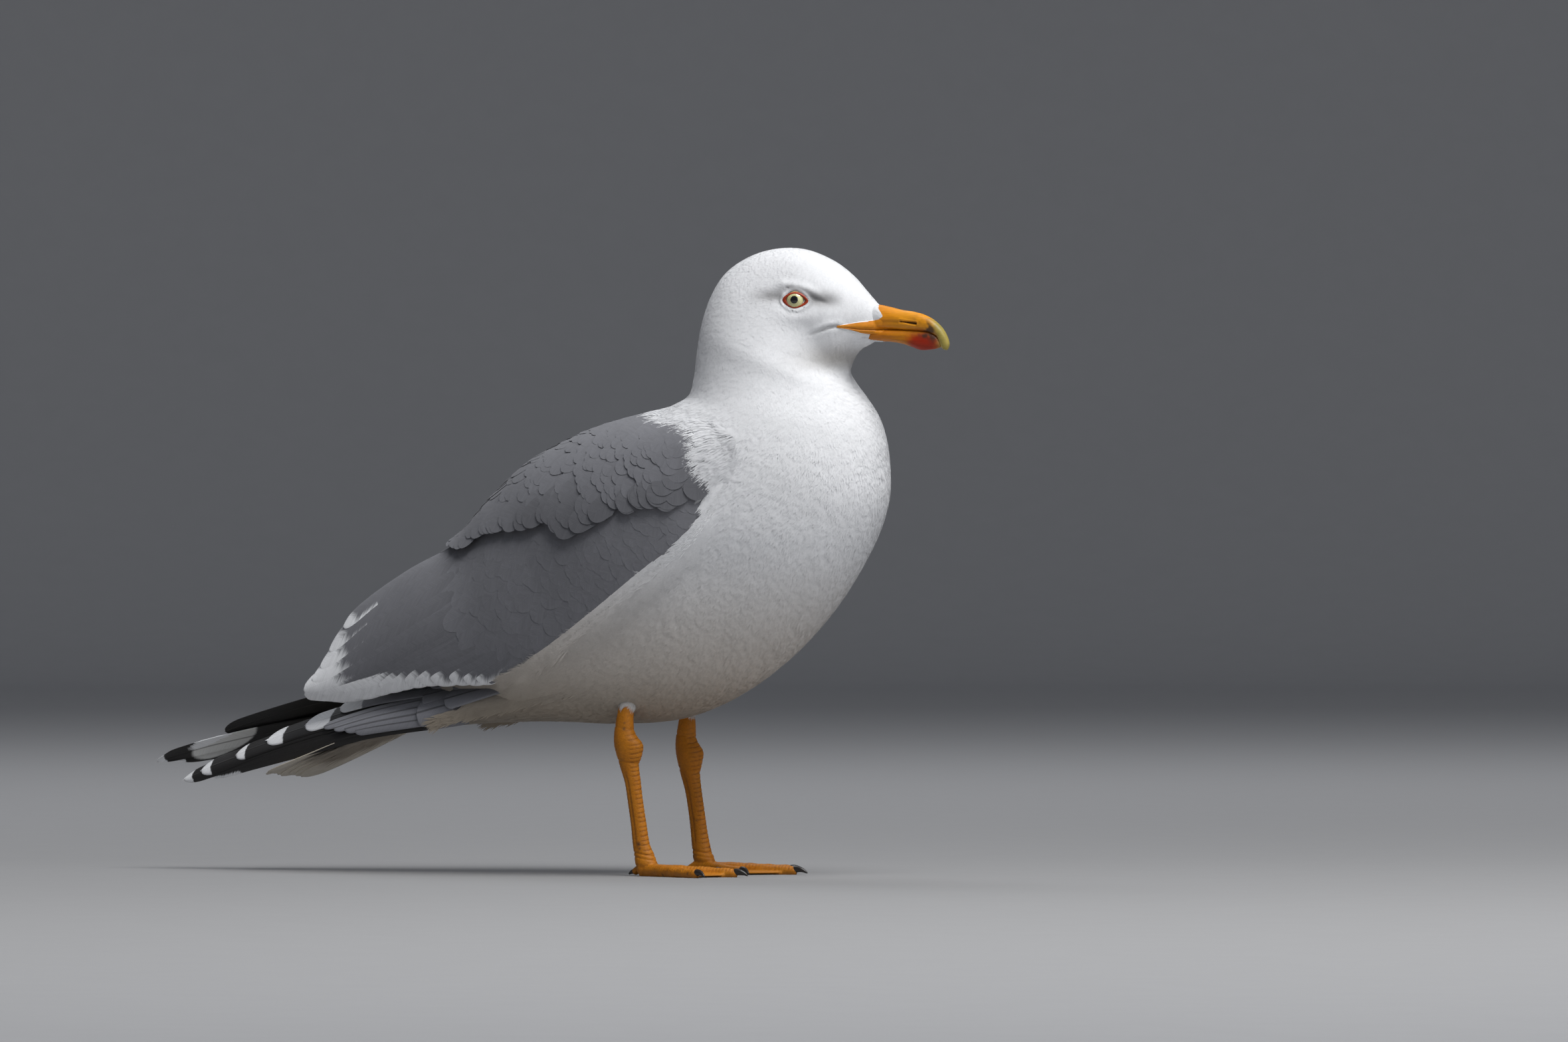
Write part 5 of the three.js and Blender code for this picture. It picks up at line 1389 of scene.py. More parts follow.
def bill():
    mat = bill_material()
    for name, table, lower in (("bill_upper_horn", BILL_UPPER, False), ("bill_lower_horn", BILL_LOWER, True)):
        sheet = Sheet(bill_form(table), (0.0, 1.0, 145), (0.0, 1.0, 260), wrap=True)
        P, N = sheet.P.copy(), sheet.N
        x, z, y = P[..., 0], P[..., 2], np.abs(P[..., 1])
        flank = smooth(0.8, 2.6, y)
        if not lower:
            # nostril: a long slit with a raised lip, and the groove that runs to it from the face
            g, t = segment_gap(P, (231.0, 330.6), (240.6, 329.3))
            slit = np.exp(-(g / (0.26 + 0.50 * smooth(0.0, 0.8, t))) ** 2.6)
            lip = np.exp(-((g - 1.35) / 0.55) ** 2)
            g2, t2 = segment_gap(P, (214, 330.6), (231.5, 330.4))
            groove = np.exp(-(g2 / 1.1) ** 2) * (0.35 + 0.65 * t2)
            g3, t3 = segment_gap(P, (206, 328.3), (246, 326.4))
            roll = np.exp(-((g3) / 1.2) ** 2) * smooth(250, 232, x)
            g4, t4 = segment_gap(P, (240, 330.0), (253, 322.8))
            notch = np.exp(-(g4 / 1.3) ** 2) * 0.5 * np.sin(np.pi * np.clip(t4, 0.02, 1))
            relief = (-1.15 * slit + 0.22 * lip * smooth(226, 231, x) * smooth(246, 242, x) - 0.35 * groove + 0.22 * roll - 0.14 * notch) * flank
            relief = relief + 0.12 * np.exp(-((y) / 0.9) ** 2) * (N[..., 2] > 0)         # keeled ridge
        else:
            g, t = segment_gap(P, (209, 321.8), (243, 320.4))
            relief = -0.22 * np.exp(-(g / 0.9) ** 2) * flank * smooth(246, 230, x)
            slit = 0 * x
            relief = relief - 0.25 * np.exp(-(y / 0.8) ** 2) * (N[..., 2] < -0.3) * smooth(236, 226, x)
        P = P + N * relief[..., None]
        colour = bill_colour(P, lower)
        if not lower:
            # painted shade: the nostril slit is darkened almost to black, and the groove running to it by a quarter
            dark = 0.93 * smooth(0.35, 0.8, slit) * flank
            colour = colour * (1 - dark[..., None]) + np.array([0.012, 0.006, 0.004]) * dark[..., None]
            shade = 0.25 * smooth(0.1, 0.9, groove) * flank
            colour = colour * (1 - shade[..., None])
        # the cutting edge is a thin dark line
        rim = np.exp(-((z - np.interp(x, [200, 214, 230, 245, 252, 258], [325.9, 325.9, 325.5, 324.5, 322.8, 318.2])) / 0.34) ** 2)
        rim = rim * smooth(256, 250, x) * 0.55
        colour = colour * (1 - rim[..., None]) + np.array([0.10, 0.035, 0.006]) * rim[..., None]
        V, C = P[:-1].reshape(-1, 3), colour[:-1].reshape(-1, 3)
        na, nb = sheet.na - 1, sheet.nb
        i, j = np.meshgrid(np.arange(na), np.arange(nb - 1), indexing="ij")
        q = np.stack([i * nb + j, ((i + 1) % na) * nb + j, ((i + 1) % na) * nb + j + 1, i * nb + j + 1], -1).reshape(-1, 4)
        piece = build(name, V, q, colours={"tint": C}, material=mat)
        weld(piece)
        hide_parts("bill_lower" if lower else "bill_upper")


def weld(piece, mm=0.02):
    """Merges points that meet, and turns every face outward."""
    import bmesh
    bm = bmesh.new()
    bm.from_mesh(piece.data)
    bmesh.ops.remove_doubles(bm, verts=bm.verts, dist=mm * MM)
    bmesh.ops.recalc_face_normals(bm, faces=bm.faces)
    for f in bm.faces:
        f.smooth = True
    bm.to_mesh(piece.data)
    bm.free()


BILL_SHEETS = [Sheet(bill_form(t), (0.0, 1.0, 145), (0.0, 1.0, 260), wrap=True) for t in (BILL_UPPER, BILL_LOWER)]


def bill_feathers():
    """Tiny feathers running out in points onto the base of the horn, above the nostril's groove and under the chin."""
    piece = Piece()
    for i, sheet in enumerate(BILL_SHEETS):
        keep = lambda P, Q: ~inside(BARE, P[..., 0] + 0.4, P[..., 2]) & (P[..., 0] < 222.5)
        Q = scatter(sheet, lambda P: 0.62 + 0 * P[..., 0], keep, 640 + i)
        P = sheet.at(Q, "P")
        L = 1.5 + 0.5 * smooth(220, 210, P[:, 0])
        # painted shade: these feathers are tinted 4% darker than the face's
        tufts(piece, sheet, Q, L, 0.8, 3, 0.24, 0.00, 0.18 if i else 0.24, lambda X: white_marks(X) * 0.96, 641 + i, ((0, 1), (0, 1)), toward=(0.0, -1.0), shade=0.012,
              check=feathered_face, blend=1.0, loose=0.3)
    piece.make("coat_bill_base", DOWN)


def flank_y(x, z, sheets):
    """How far out the right side of some forms stands at a place in the side view."""
    best = np.zeros(np.shape(x))
    for sheet in sheets:
        P = sheet.P[sheet.na // 2:].reshape(-1, 3)
        P = P[(P[:, 0] > 185) & (P[:, 0] < 235) & (P[:, 2] > 305)]
        tree = tree_of(np.stack([P[:, 0], P[:, 2], 0 * P[:, 0]], -1))
        for n, (a, b) in enumerate(zip(np.ravel(x), np.ravel(z))):
            near = [i for _, i, d in tree.find_n((a, b, 0), 4) if d < 1.2]
            if near:
                best.flat[n] = max(best.flat[n], float(np.mean(np.abs(P[near, 1]))))
    return best


def gape():
    """Bare yellow skin at the corner of the mouth, from the horn back to the gape, on both sides."""
    top = [(195.4, 327.9), (200.5, 329.2), (207.5, 330.6), (213.4, 331.3), (217.5, 332.2), (220.5, 333.0)]
    mouth = [(195.4, 327.6), (200.0, 326.9), (207.0, 325.9), (213.4, 325.7), (218.0, 325.7), (222.0, 325.7)]
    low = [(195.4, 327.3), (201.5, 325.6), (206.5, 324.2), (211.0, 323.4), (216.0, 323.2), (221.0, 323.4)]
    along = np.linspace(0, 1, 70)
    across = np.linspace(0, 1, 33)
    def line(p):
        p = np.array(p)
        t = np.linspace(0, 1, len(p))
        return np.stack([np.interp(along, t, p[:, 0]), np.interp(along, t, p[:, 1])], -1)
    T, M, L = line(top), line(mouth), line(low)
    w = across[None, :, None]
    xz = np.where(w < 0.5, T[:, None] * (1 - 2 * w) + M[:, None] * 2 * w, M[:, None] * (2 - 2 * w) + L[:, None] * (2 * w - 1))
    x, z = xz[..., 0], xz[..., 1]
    y = flank_y(x, z, [BODY_SHEET] + BILL_SHEETS)
    for _ in range(6):
        y[1:-1] = (y[:-2] + 2 * y[1:-1] + y[2:]) / 4
        y[:, 1:-1] = (y[:, :-2] + 2 * y[:, 1:-1] + y[:, 2:]) / 4
    full = smooth(0, 0.35, along)[:, None]
    roll = 0.55 * np.exp(-((across[None] - 0.30) / 0.14) ** 2) + 0.35 * np.exp(-((across[None] - 0.72) / 0.14) ** 2)
    slot_ = -0.75 * np.exp(-((across[None] - 0.5) / 0.055) ** 2)
    fade = smooth(1.0, 0.72, along)[:, None]
    sink = -0.35 * (np.exp(-(across[None] / 0.08) ** 2) + np.exp(-((1 - across[None]) / 0.08) ** 2))
    out = y + (0.22 + (roll + slot_) * full + sink) * fade - 0.55 * (1 - fade)
    dark = np.exp(-((across[None] - 0.5) / 0.04) ** 2) * (0.9 * np.ones_like(full))
    P = np.stack([x, out, z], -1)
    base = bill_colour(P, False)
    base = base * (1 - 0.12 * smooth(0.15, 0.0, along)[:, None, None])
    colour = base * (1 - dark[..., None]) + np.array([0.05, 0.015, 0.005]) * dark[..., None]
    for side, label in ((-1, "right"), (1, "left")):
        V = P.copy()
        V[..., 1] *= side
        piece = build("gape_" + label, V.reshape(-1, 3), grid_quads(1, 70, 33), colours={"tint": colour.reshape(-1, 3)},
                      material=bpy.data.materials["bill_horn"])
        thick(piece, 0.5)


# ---------------------------------------------------------------- eyes
def eye_material():
    m, t, b = principled("eye_ball", rough=0.06, specular=0.6, coat=1.0, coat_rough=0.02)
    tint = attribute(t, "tint").outputs["Color"]
    fine = noise(t, 2600.0, 2.0, 0.6)
    value = remap(t, fine, 0.3, 0.7, 0.90, 1.04)
    t.links.new(mix(t, 1.0, tint, node(t, "ShaderNodeCombineColor", inputs={0: value, 1: value, 2: value}).outputs[0], "MULTIPLY"), b.inputs["Base Color"])
    return m


def lid_material():
    m, t, b = principled("eye_ring", rough=0.45, specular=0.45, coat=0.1)
    tint = attribute(t, "tint").outputs["Color"]
    grain = noise(t, 1500.0, 3.0, 0.6)
    value = remap(t, grain, 0.3, 0.7, 0.80, 1.06)
    t.links.new(mix(t, 1.0, tint, node(t, "ShaderNodeCombineColor", inputs={0: value, 1: value, 2: value}).outputs[0], "MULTIPLY"), b.inputs["Base Color"])
    t.links.new(bump(t, grain, 0.00012, 0.7), b.inputs["Normal"])
    return m


def eyes():
    ball, ring = eye_material(), lid_material()
    for side, label in ((-1, "right"), (1, "left")):
        flip = np.array([1.0, side, 1.0])
        # eyeball: rings about the eye's own axis, with a slight cornea
        theta = np.concatenate([np.linspace(0, 1.0, 70), np.linspace(1.0, math.pi, 26)[1:]])
        phi = np.linspace(0, 2 * np.pi, 96, endpoint=False)
        T, F = np.meshgrid(theta, phi, indexing="ij")
        radius = EYE_R + 0.42 * smooth(0.85, 0.0, T)
        across = radius * np.sin(T)
        P = (EYE + EYE_AXIS * (radius * np.cos(T))[..., None] + EYE_E1 * (across * np.cos(F))[..., None] + EYE_E2 * (across * np.sin(F))[..., None]) * flip
        r = across
        streaks = 0.5 + 0.5 * np.sin(F * 31 + 3 * np.sin(F * 7) + r * 2.2)
        iris = np.array([0.76, 0.73, 0.36])[None, None] * (0.90 + 0.14 * streaks[..., None]) * (1 - 0.16 * smooth(3.8, 2.6, r)[..., None])
        rim = smooth(4.75, 5.35, r)[..., None]
        colour = iris * (1 - rim) + np.array([0.035, 0.022, 0.012]) * rim
        pupil = smooth(2.42, 2.22, r)[..., None]
        colour = colour * (1 - pupil) + np.array([0.004, 0.004, 0.005]) * pupil
        rows, cols = T.shape
        piece = build("eyeball_" + label, P.reshape(-1, 3), grid_quads(1, rows, cols, wrap=True), colours={"tint": colour.reshape(-1, 3)},
                      material=ball)
        weld(piece)
        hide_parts("eye_" + label)
        # bare ring of lid skin
        phi = np.linspace(0, 2 * np.pi, 180, endpoint=False)
        inner, outer = lid_line(phi, True), lid_line(phi, False)
        w = np.linspace(0, 1, 15)
        R = inner[:, None] * (1 - w) + (outer + 0.15)[:, None] * w
        E, U = R * np.cos(phi)[:, None], R * np.sin(phi)[:, None]
        U = U - 0.10 * np.maximum(E, 0) * smooth(2.0, 8.0, E)
        on_ball = np.sqrt(np.maximum(EYE_R ** 2 - np.minimum(R, 7.2) ** 2, 0.5))
        plain = 5.75 + 0.035 * E - 0.010 * (E ** 2) * 0.6
        inside_d = np.sqrt(np.maximum(EYE_R ** 2 - inner ** 2, 1.0))[:, None] + 0.12
        outside_d = 5.35 + 0.06 * outer[:, None] * np.cos(phi)[:, None] + 0.35 * (np.abs(np.sin(phi))[:, None])
        depth = inside_d * (1 - w) + outside_d * w + 0.36 * np.sin(np.pi * np.clip(w, 0, 1)) ** 0.7
        curl = smooth(0.0, 0.16, w)
        depth = depth - 0.25 * (1 - curl)
        furrow = 0.035 * np.sin(phi * 58 + 3 * np.sin(phi * 5))[:, None] * np.sin(np.pi * w)
        depth = depth + furrow
        P = (EYE + EYE_AXIS * depth[..., None] + EYE_E1 * E[..., None] + EYE_E2 * U[..., None]) * flip
        tone = np.array([0.40, 0.042, 0.008])[None, None] * (0.90 + 0.05 * np.sin(phi * 58 + 3 * np.sin(phi * 5))[:, None, None] + 0.1 * w[None, :, None])
        margin = smooth(0.16, 0.0, w)[None, :, None] * 0.75
        tone = tone * (1 - margin) + np.array([0.05, 0.018, 0.010]) * margin
        corner = smooth(5.4, 6.6, E)[..., None] * smooth(0.75, 0.1, w)[None, :, None] * 0.85
        tone = tone * (1 - corner) + np.array([0.030, 0.014, 0.010]) * corner
        q = grid_quads(1, 180, 15)
        wrap = np.array([[179 * 15 + j, j, j + 1, 179 * 15 + j + 1] for j in range(14)])
        piece = build("eye_ring_" + label, P.reshape(-1, 3), np.concatenate([q, wrap]), colours={"tint": tone.reshape(-1, 3)},
                      material=ring)
        thick(piece, 0.3)


# ---------------------------------------------------------------- legs and feet
LEG_Y = 33.0
LEGS = {
    -1: [(66.0, 130, 0.0, 0.0), (66.0, 129, 5.0, 5.0), (65.2, 122, 7.0, 7.0), (64.4, 110, 6.4, 6.0), (63.6, 100, 5.0, 4.6),
         (62.8, 92, 5.5, 4.6), (62.9, 85, 6.7, 5.2), (65.4, 78.4, 9.2, 6.0), (65.9, 72, 8.0, 5.6), (65.9, 66.5, 6.2, 4.6),
         (68.2, 56, 5.1, 3.7), (69.9, 44.8, 4.9, 3.4), (72.2, 30.4, 5.0, 3.5), (73.9, 18.8, 5.4, 3.9), (76.2, 11.6, 6.6, 4.6),
         (77.4, 6, 6.4, 5.0), (77.6, 4, 0.0, 0.0)],
    1: [(74.5, 130, 0.0, 0.0), (74.5, 129, 5.0, 5.0), (74.0, 122, 7.0, 7.0), (73.4, 106, 6.4, 6.0), (72.8, 96, 5.0, 4.6),
        (72.6, 89.6, 5.5, 4.6), (72.2, 80.4, 6.7, 5.2), (74.4, 73.2, 8.8, 6.0), (74.7, 66, 7.6, 5.6), (74.9, 60, 6.2, 4.6),
        (77.0, 49.6, 5.3, 3.7), (79.4, 35, 5.2, 3.5), (80.8, 25, 5.4, 3.6), (82.6, 14, 6.0, 4.4), (84.2, 8, 6.4, 5.0), (84.5, 4, 0.0, 0.0)],
}
ANKLE = {-1: (77.4, 6.0), 1: (84.4, 6.0)}
TOES = {"middle": (61, 1.5, 4.0, 2.7), "outer": (47, 27, 3.8, 2.5), "inner": (37, -24, 3.6, 2.5)}
CLAW_LEN = 8.5


def leg_material():
    m, t, b = principled("leg_skin", rough=0.55, specular=0.32, coat=0.04, coat_rough=0.3)
    tint = attribute(t, "tint").outputs["Color"]
    grain = noise(t, 700.0, 4.0, 0.6)
    cloud = noise(t, 120.0, 3.0, 0.5)
    value = calc(t, "ADD", remap(t, grain, 0.3, 0.7, 0.86, 1.04), remap(t, cloud, 0.35, 0.65, -0.07, 0.03))
    t.links.new(mix(t, 1.0, tint, node(t, "ShaderNodeCombineColor", inputs={0: value, 1: value, 2: value}).outputs[0], "MULTIPLY"), b.inputs["Base Color"])
    vor = node(t, "ShaderNodeTexVoronoi", inputs={"Vector": node(t, "ShaderNodeTexCoord").outputs["Object"], "Scale": 900.0}, feature="DISTANCE_TO_EDGE").outputs["Distance"]
    t.links.new(bump(t, calc(t, "ADD", calc(t, "MULTIPLY", grain, 0.5), remap(t, vor, 0.0, 0.16, 0.0, 0.5)), 0.00018, 0.6), b.inputs["Normal"])
    return m


LEG_COLOUR = np.array([0.50, 0.166, 0.004])
LEG_DARK = np.array([0.19, 0.060, 0.005])
LEG_PALE = np.array([0.57, 0.215, 0.010])


def tube(points, radii, around=40, rows=60, flat=1.0):
    """Closed round limb through points with radii, ends rounded."""
    pts = np.asarray(points, float)
    t = np.linspace(0, 1, rows)
    C = catmull(pts, t)
    R = np.interp(t, np.linspace(0, 1, len(radii)), radii)
    T = norm(np.gradient(C, axis=0))
    up = np.array([0, 0, 1.0])
    side = norm(np.cross(np.broadcast_to(up, T.shape), T) + 1e-9)
    top = np.cross(T, side)
    a = np.linspace(0, 2 * np.pi, around, endpoint=False)
    V = C[:, None] + side[:, None] * (np.cos(a)[None, :, None] * R[:, None, None]) + top[:, None] * (np.sin(a)[None, :, None] * R[:, None, None] * flat)
    V = V.reshape(-1, 3)
    q = grid_quads(1, rows, around, wrap=True)
    ends = np.concatenate([V, C[:1], C[-1:]])
    n = len(V)
    tri = [(n, (j + 1) % around, j) for j in range(around)] + [(n + 1, (rows - 1) * around + j, (rows - 1) * around + (j + 1) % around) for j in range(around)]
    return ends, q, np.array(tri)


def end_round(rows, r0, r1, reach=0.12, swell=None):
    t = np.linspace(0, 1, rows)
    r = r0 + (r1 - r0) * t
    if swell is not None:
        r = r + swell(t)
    cap = np.minimum(np.minimum(t, 1 - t) / reach, 1)
    return r * np.sqrt(np.maximum(1 - (1 - cap) ** 2, 0.0004))


def joined(name, parts):
    """One mesh from several closed forms (verts mm, quads, tris), for the remesh."""
    V, Q, T, n = [], [], [], 0
    for v, q, t in parts:
        V.append(v); Q.append(np.asarray(q, int).reshape(-1, 4) + n); T.append(np.asarray(t, int).reshape(-1, 3) + n)
        n += len(v)
    return np.concatenate(V), np.concatenate(Q), np.concatenate(T)


def remeshed(V, Q, T, voxel, smooth_steps=2):
    """Union of closed forms as one smooth skin; returns verts (mm), quads and tris."""
    mesh = bpy.data.meshes.new("form")
    faces = Q.tolist() + T.tolist()
    mesh.from_pydata((V * MM).tolist(), [], faces)
    mesh.update()
    o = bpy.data.objects.new("form", mesh)
    bpy.context.scene.collection.objects.link(o)
    import bmesh
    bm = bmesh.new()
    bm.from_mesh(mesh)
    bmesh.ops.recalc_face_normals(bm, faces=bm.faces)
    bm.to_mesh(mesh)
    bm.free()
    m = o.modifiers.new("r", "REMESH")
    m.mode, m.voxel_size, m.use_smooth_shade = "VOXEL", voxel * MM, True
    if smooth_steps:
        s = o.modifiers.new("s", "SMOOTH")
        s.factor, s.iterations = 0.5, smooth_steps
    dep = bpy.context.evaluated_depsgraph_get()
    got = o.evaluated_get(dep).to_mesh()
    n = len(got.vertices)
    co = np.zeros(n * 3); got.vertices.foreach_get("co", co)
    no = np.zeros(n * 3); got.vertices.foreach_get("normal", no)
    quads = np.array([list(p.vertices) for p in got.polygons if len(p.vertices) == 4], int).reshape(-1, 4)
    tris = np.array([list(p.vertices) for p in got.polygons if len(p.vertices) == 3], int).reshape(-1, 3)
    o.evaluated_get(dep).to_mesh_clear()
    bpy.data.objects.remove(o)
    bpy.data.meshes.remove(mesh)
    return co.reshape(-1, 3) / MM, no.reshape(-1, 3), quads, tris


def leg_line(side):
    return np.array(LEGS[side], float)


def legs():
    mat = leg_material()
    horn, ht, hb = principled("claw_horn", rough=0.34, specular=0.5, coat=0.2, coat_rough=0.2)
    streak = noise(ht, 1.0, 3.0, 0.6, stretch=(500.0, 1500.0, 1500.0))
    shade = remap(ht, streak, 0.3, 0.7, 0.7, 1.25)
    ht.links.new(mix(ht, 1.0, attribute(ht, "tint").outputs["Color"], node(ht, "ShaderNodeCombineColor", inputs={0: shade, 1: shade, 2: shade}).outputs[0], "MULTIPLY"), hb.inputs["Base Color"])
    ht.links.new(bump(ht, streak, 0.0001, 0.5), hb.inputs["Normal"])
    for side, label in ((-1, "right"), (1, "left")):
        ax, az = ANKLE[side]
        ay = side * LEG_Y
        table = leg_line(side)
        rows, around = 170, 48
        t = np.linspace(0, 1, rows)
        C = catmull(np.stack([table[:, 0], ay - side * 9.0 * smooth(96, 116, table[:, 1]), table[:, 1]], -1), t)
        G = catmull(np.stack([table[:, 2], table[:, 3], np.arange(len(table)) * 10.0], -1), t)
        a = np.linspace(0, 2 * np.pi, around, endpoint=False)
        rx, ry = np.maximum(G[:, 0], 0.01), np.maximum(G[:, 1], 0.01)
        V = np.stack([C[:, None, 0] + rx[:, None] * np.cos(a), C[:, None, 1] + ry[:, None] * np.sin(a), np.broadcast_to(C[:, None, 2], (rows, around))], -1)
        parts = [(V.reshape(-1, 3), grid_quads(1, rows, around, wrap=True), np.zeros((0, 3), int))]
        # close the ends
        v, q, tr = parts[0]
        v = np.concatenate([v, C[:1], C[-1:]])
        n = rows * around
        tr = np.array([(n, (j + 1) % around, j) for j in range(around)] + [(n + 1, (rows - 1) * around + j, (rows - 1) * around + (j + 1) % around) for j in range(around)])
        parts = [(v, q, tr)]
        tips, axes = {}, []
        for name, (dx, dy, r0, r1) in TOES.items():
            tx, ty = ax + dx, ay + side * dy
            tips[name] = np.array([tx, ty])
            knuckles = {"middle": (0.36, 0.62, 0.86), "outer": (0.30, 0.52, 0.72, 0.90), "inner": (0.45, 0.84)}[name]
            swell = lambda s, k=knuckles: sum(0.42 * np.exp(-((s - x) / 0.055) ** 2) for x in k)
            rr = end_round(90, r0 - 0.1, r1, 0.07, swell)
            z0, z1 = 3.6, 2.25
            pts = [(ax - 2, ay, z0), (ax + dx * 0.33, ay + side * dy * 0.33, 3.3), (ax + dx * 0.66, ay + side * dy * 0.66, 2.75), (tx, ty, z1)]
            parts.append(tube(pts, rr, 28, 90))
            axes.append((name, np.array([ax - 2, ay]), tips[name]))
        parts.append(tube([(ax - 1, ay - side * 1, 7.6), (ax - 6, ay - side * 2.4, 4.4), (ax - 10.5, ay - side * 3.6, 1.8)], end_round(30, 2.9, 2.1, 0.15), 22, 30))
        parts.append(tube([(ax - 6, ay, 4.6), (ax + 1, ay, 4.4), (ax + 8, ay, 4.2)], end_round(30, 5.0, 4.6, 0.3), 30, 30))
        # webs
        for first, second in (("outer", "middle"), ("middle", "inner")):
            p, q2 = tips[first], tips[second]
            k = 0.95 if first == "outer" or second == "inner" else 0.95
            base = np.array([ax - 1, ay])
            n1, n2 = 46, 40
            A = base + (p - base) * 0.94
            B = base + (q2 - base) * 0.93
            u = np.linspace(0, 1, n2)
            mid = (A + B) / 2
            hollow = base + (mid - base) * 0.90
            rim = A[None] * ((1 - u) ** 2)[:, None] + hollow[None] * (2 * u * (1 - u))[:, None] + B[None] * (u ** 2)[:, None]
            wv = np.linspace(0.03, 1, n1)
            XY = base[None, None] + (rim[None] - base) * wv[:, None, None]
            zt = 2.05 + 0.9 * (1 - wv[:, None]) * np.ones((1, n2)) + 0.55 * (np.abs(u[None] * 2 - 1) ** 2) * wv[:, None]
            zt = zt - 0.35 * np.sin(np.pi * u)[None] * wv[:, None]
            zb = 0.75 + 0 * zt
            top = np.concatenate([XY, zt[..., None]], -1).reshape(-1, 3)
            bot = np.concatenate([XY, zb[..., None]], -1).reshape(-1, 3)
            V2 = np.concatenate([top, bot])
            N2 = n1 * n2
            qs = grid_quads(1, n1, n2)
            qb = qs[:, ::-1] + N2
            side_q = []
            ring = [i * n2 for i in range(n1)] + [(n1 - 1) * n2 + j for j in range(1, n2)] + [i * n2 + n2 - 1 for i in range(n1 - 2, -1, -1)] + [j for j in range(n2 - 2, 0, -1)]
            for i0, i1 in zip(ring, ring[1:] + ring[:1]):
                side_q.append((i0, i1, i1 + N2, i0 + N2))
            parts.append((V2, np.concatenate([qs, qb, np.array(side_q)]), np.zeros((0, 3), int)))
        V, Q, T = joined("leg", parts)
        P, N, quads, tris = remeshed(V, Q, T, 0.55, 3)
        P, colour = leg_detail(P, N, side, axes, table)
        piece = build("leg_" + label, P, quads, tris, colours={"tint": colour}, material=mat)
        print("leg", label, len(P))
        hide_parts("tibia_" + label, "tarsus_" + label, "foot_" + label)
        for name in ("inner", "middle", "outer", "hind"):
            if name == "hind":
                start, end = np.array([ax - 9.6, ay - side * 3.4, 2.6]), np.array([ax - 14, ay - side * 4.4, 1.7])
                ra, rb, sag = 1.4, 0.35, 0.8
            else:
                d = np.append(tips[name] - np.array([ax, ay]), 0)
                d = d / np.linalg.norm(d)
                tip = np.append(tips[name], 0)
                start, end = tip - d * 2.6 + np.array([0, 0, 3.0]), tip + d * (CLAW_LEN - 2) + np.array([0, 0, 2.4])
                ra, rb, sag = 1.95, 0.35, 1.5
            s = np.linspace(0, 1, 40)
            pts = start[None] * (1 - s)[:, None] + end[None] * s[:, None]
            pts[:, 2] += 0.75 * np.sin(np.pi * s) * (0.4 if name == "hind" else 1) - sag * s ** 2.2
            rr = (ra * (1 - s ** 1.6) + rb * s ** 1.6) * np.sqrt(np.clip(s / 0.08, 0.03, 1)) * np.sqrt(np.clip((1 - s) / 0.06, 0.03, 1))
            v, q, tr = tube(pts, rr, 24, 40, flat=1.12)
            v[:, 2] = np.maximum(v[:, 2], 0.12)
            c = np.array([0.020, 0.016, 0.014]) + 0.10 * smooth(0.25, 0.0, np.linalg.norm(v - start, axis=1) / 10)[:, None] * np.array([1.0, 0.5, 0.12])
            claw = build(f"claw_{name}_{label}_horn", v, q, tr, colours={"tint": c}, material=horn)
            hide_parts(f"claw_{name}_{label}")


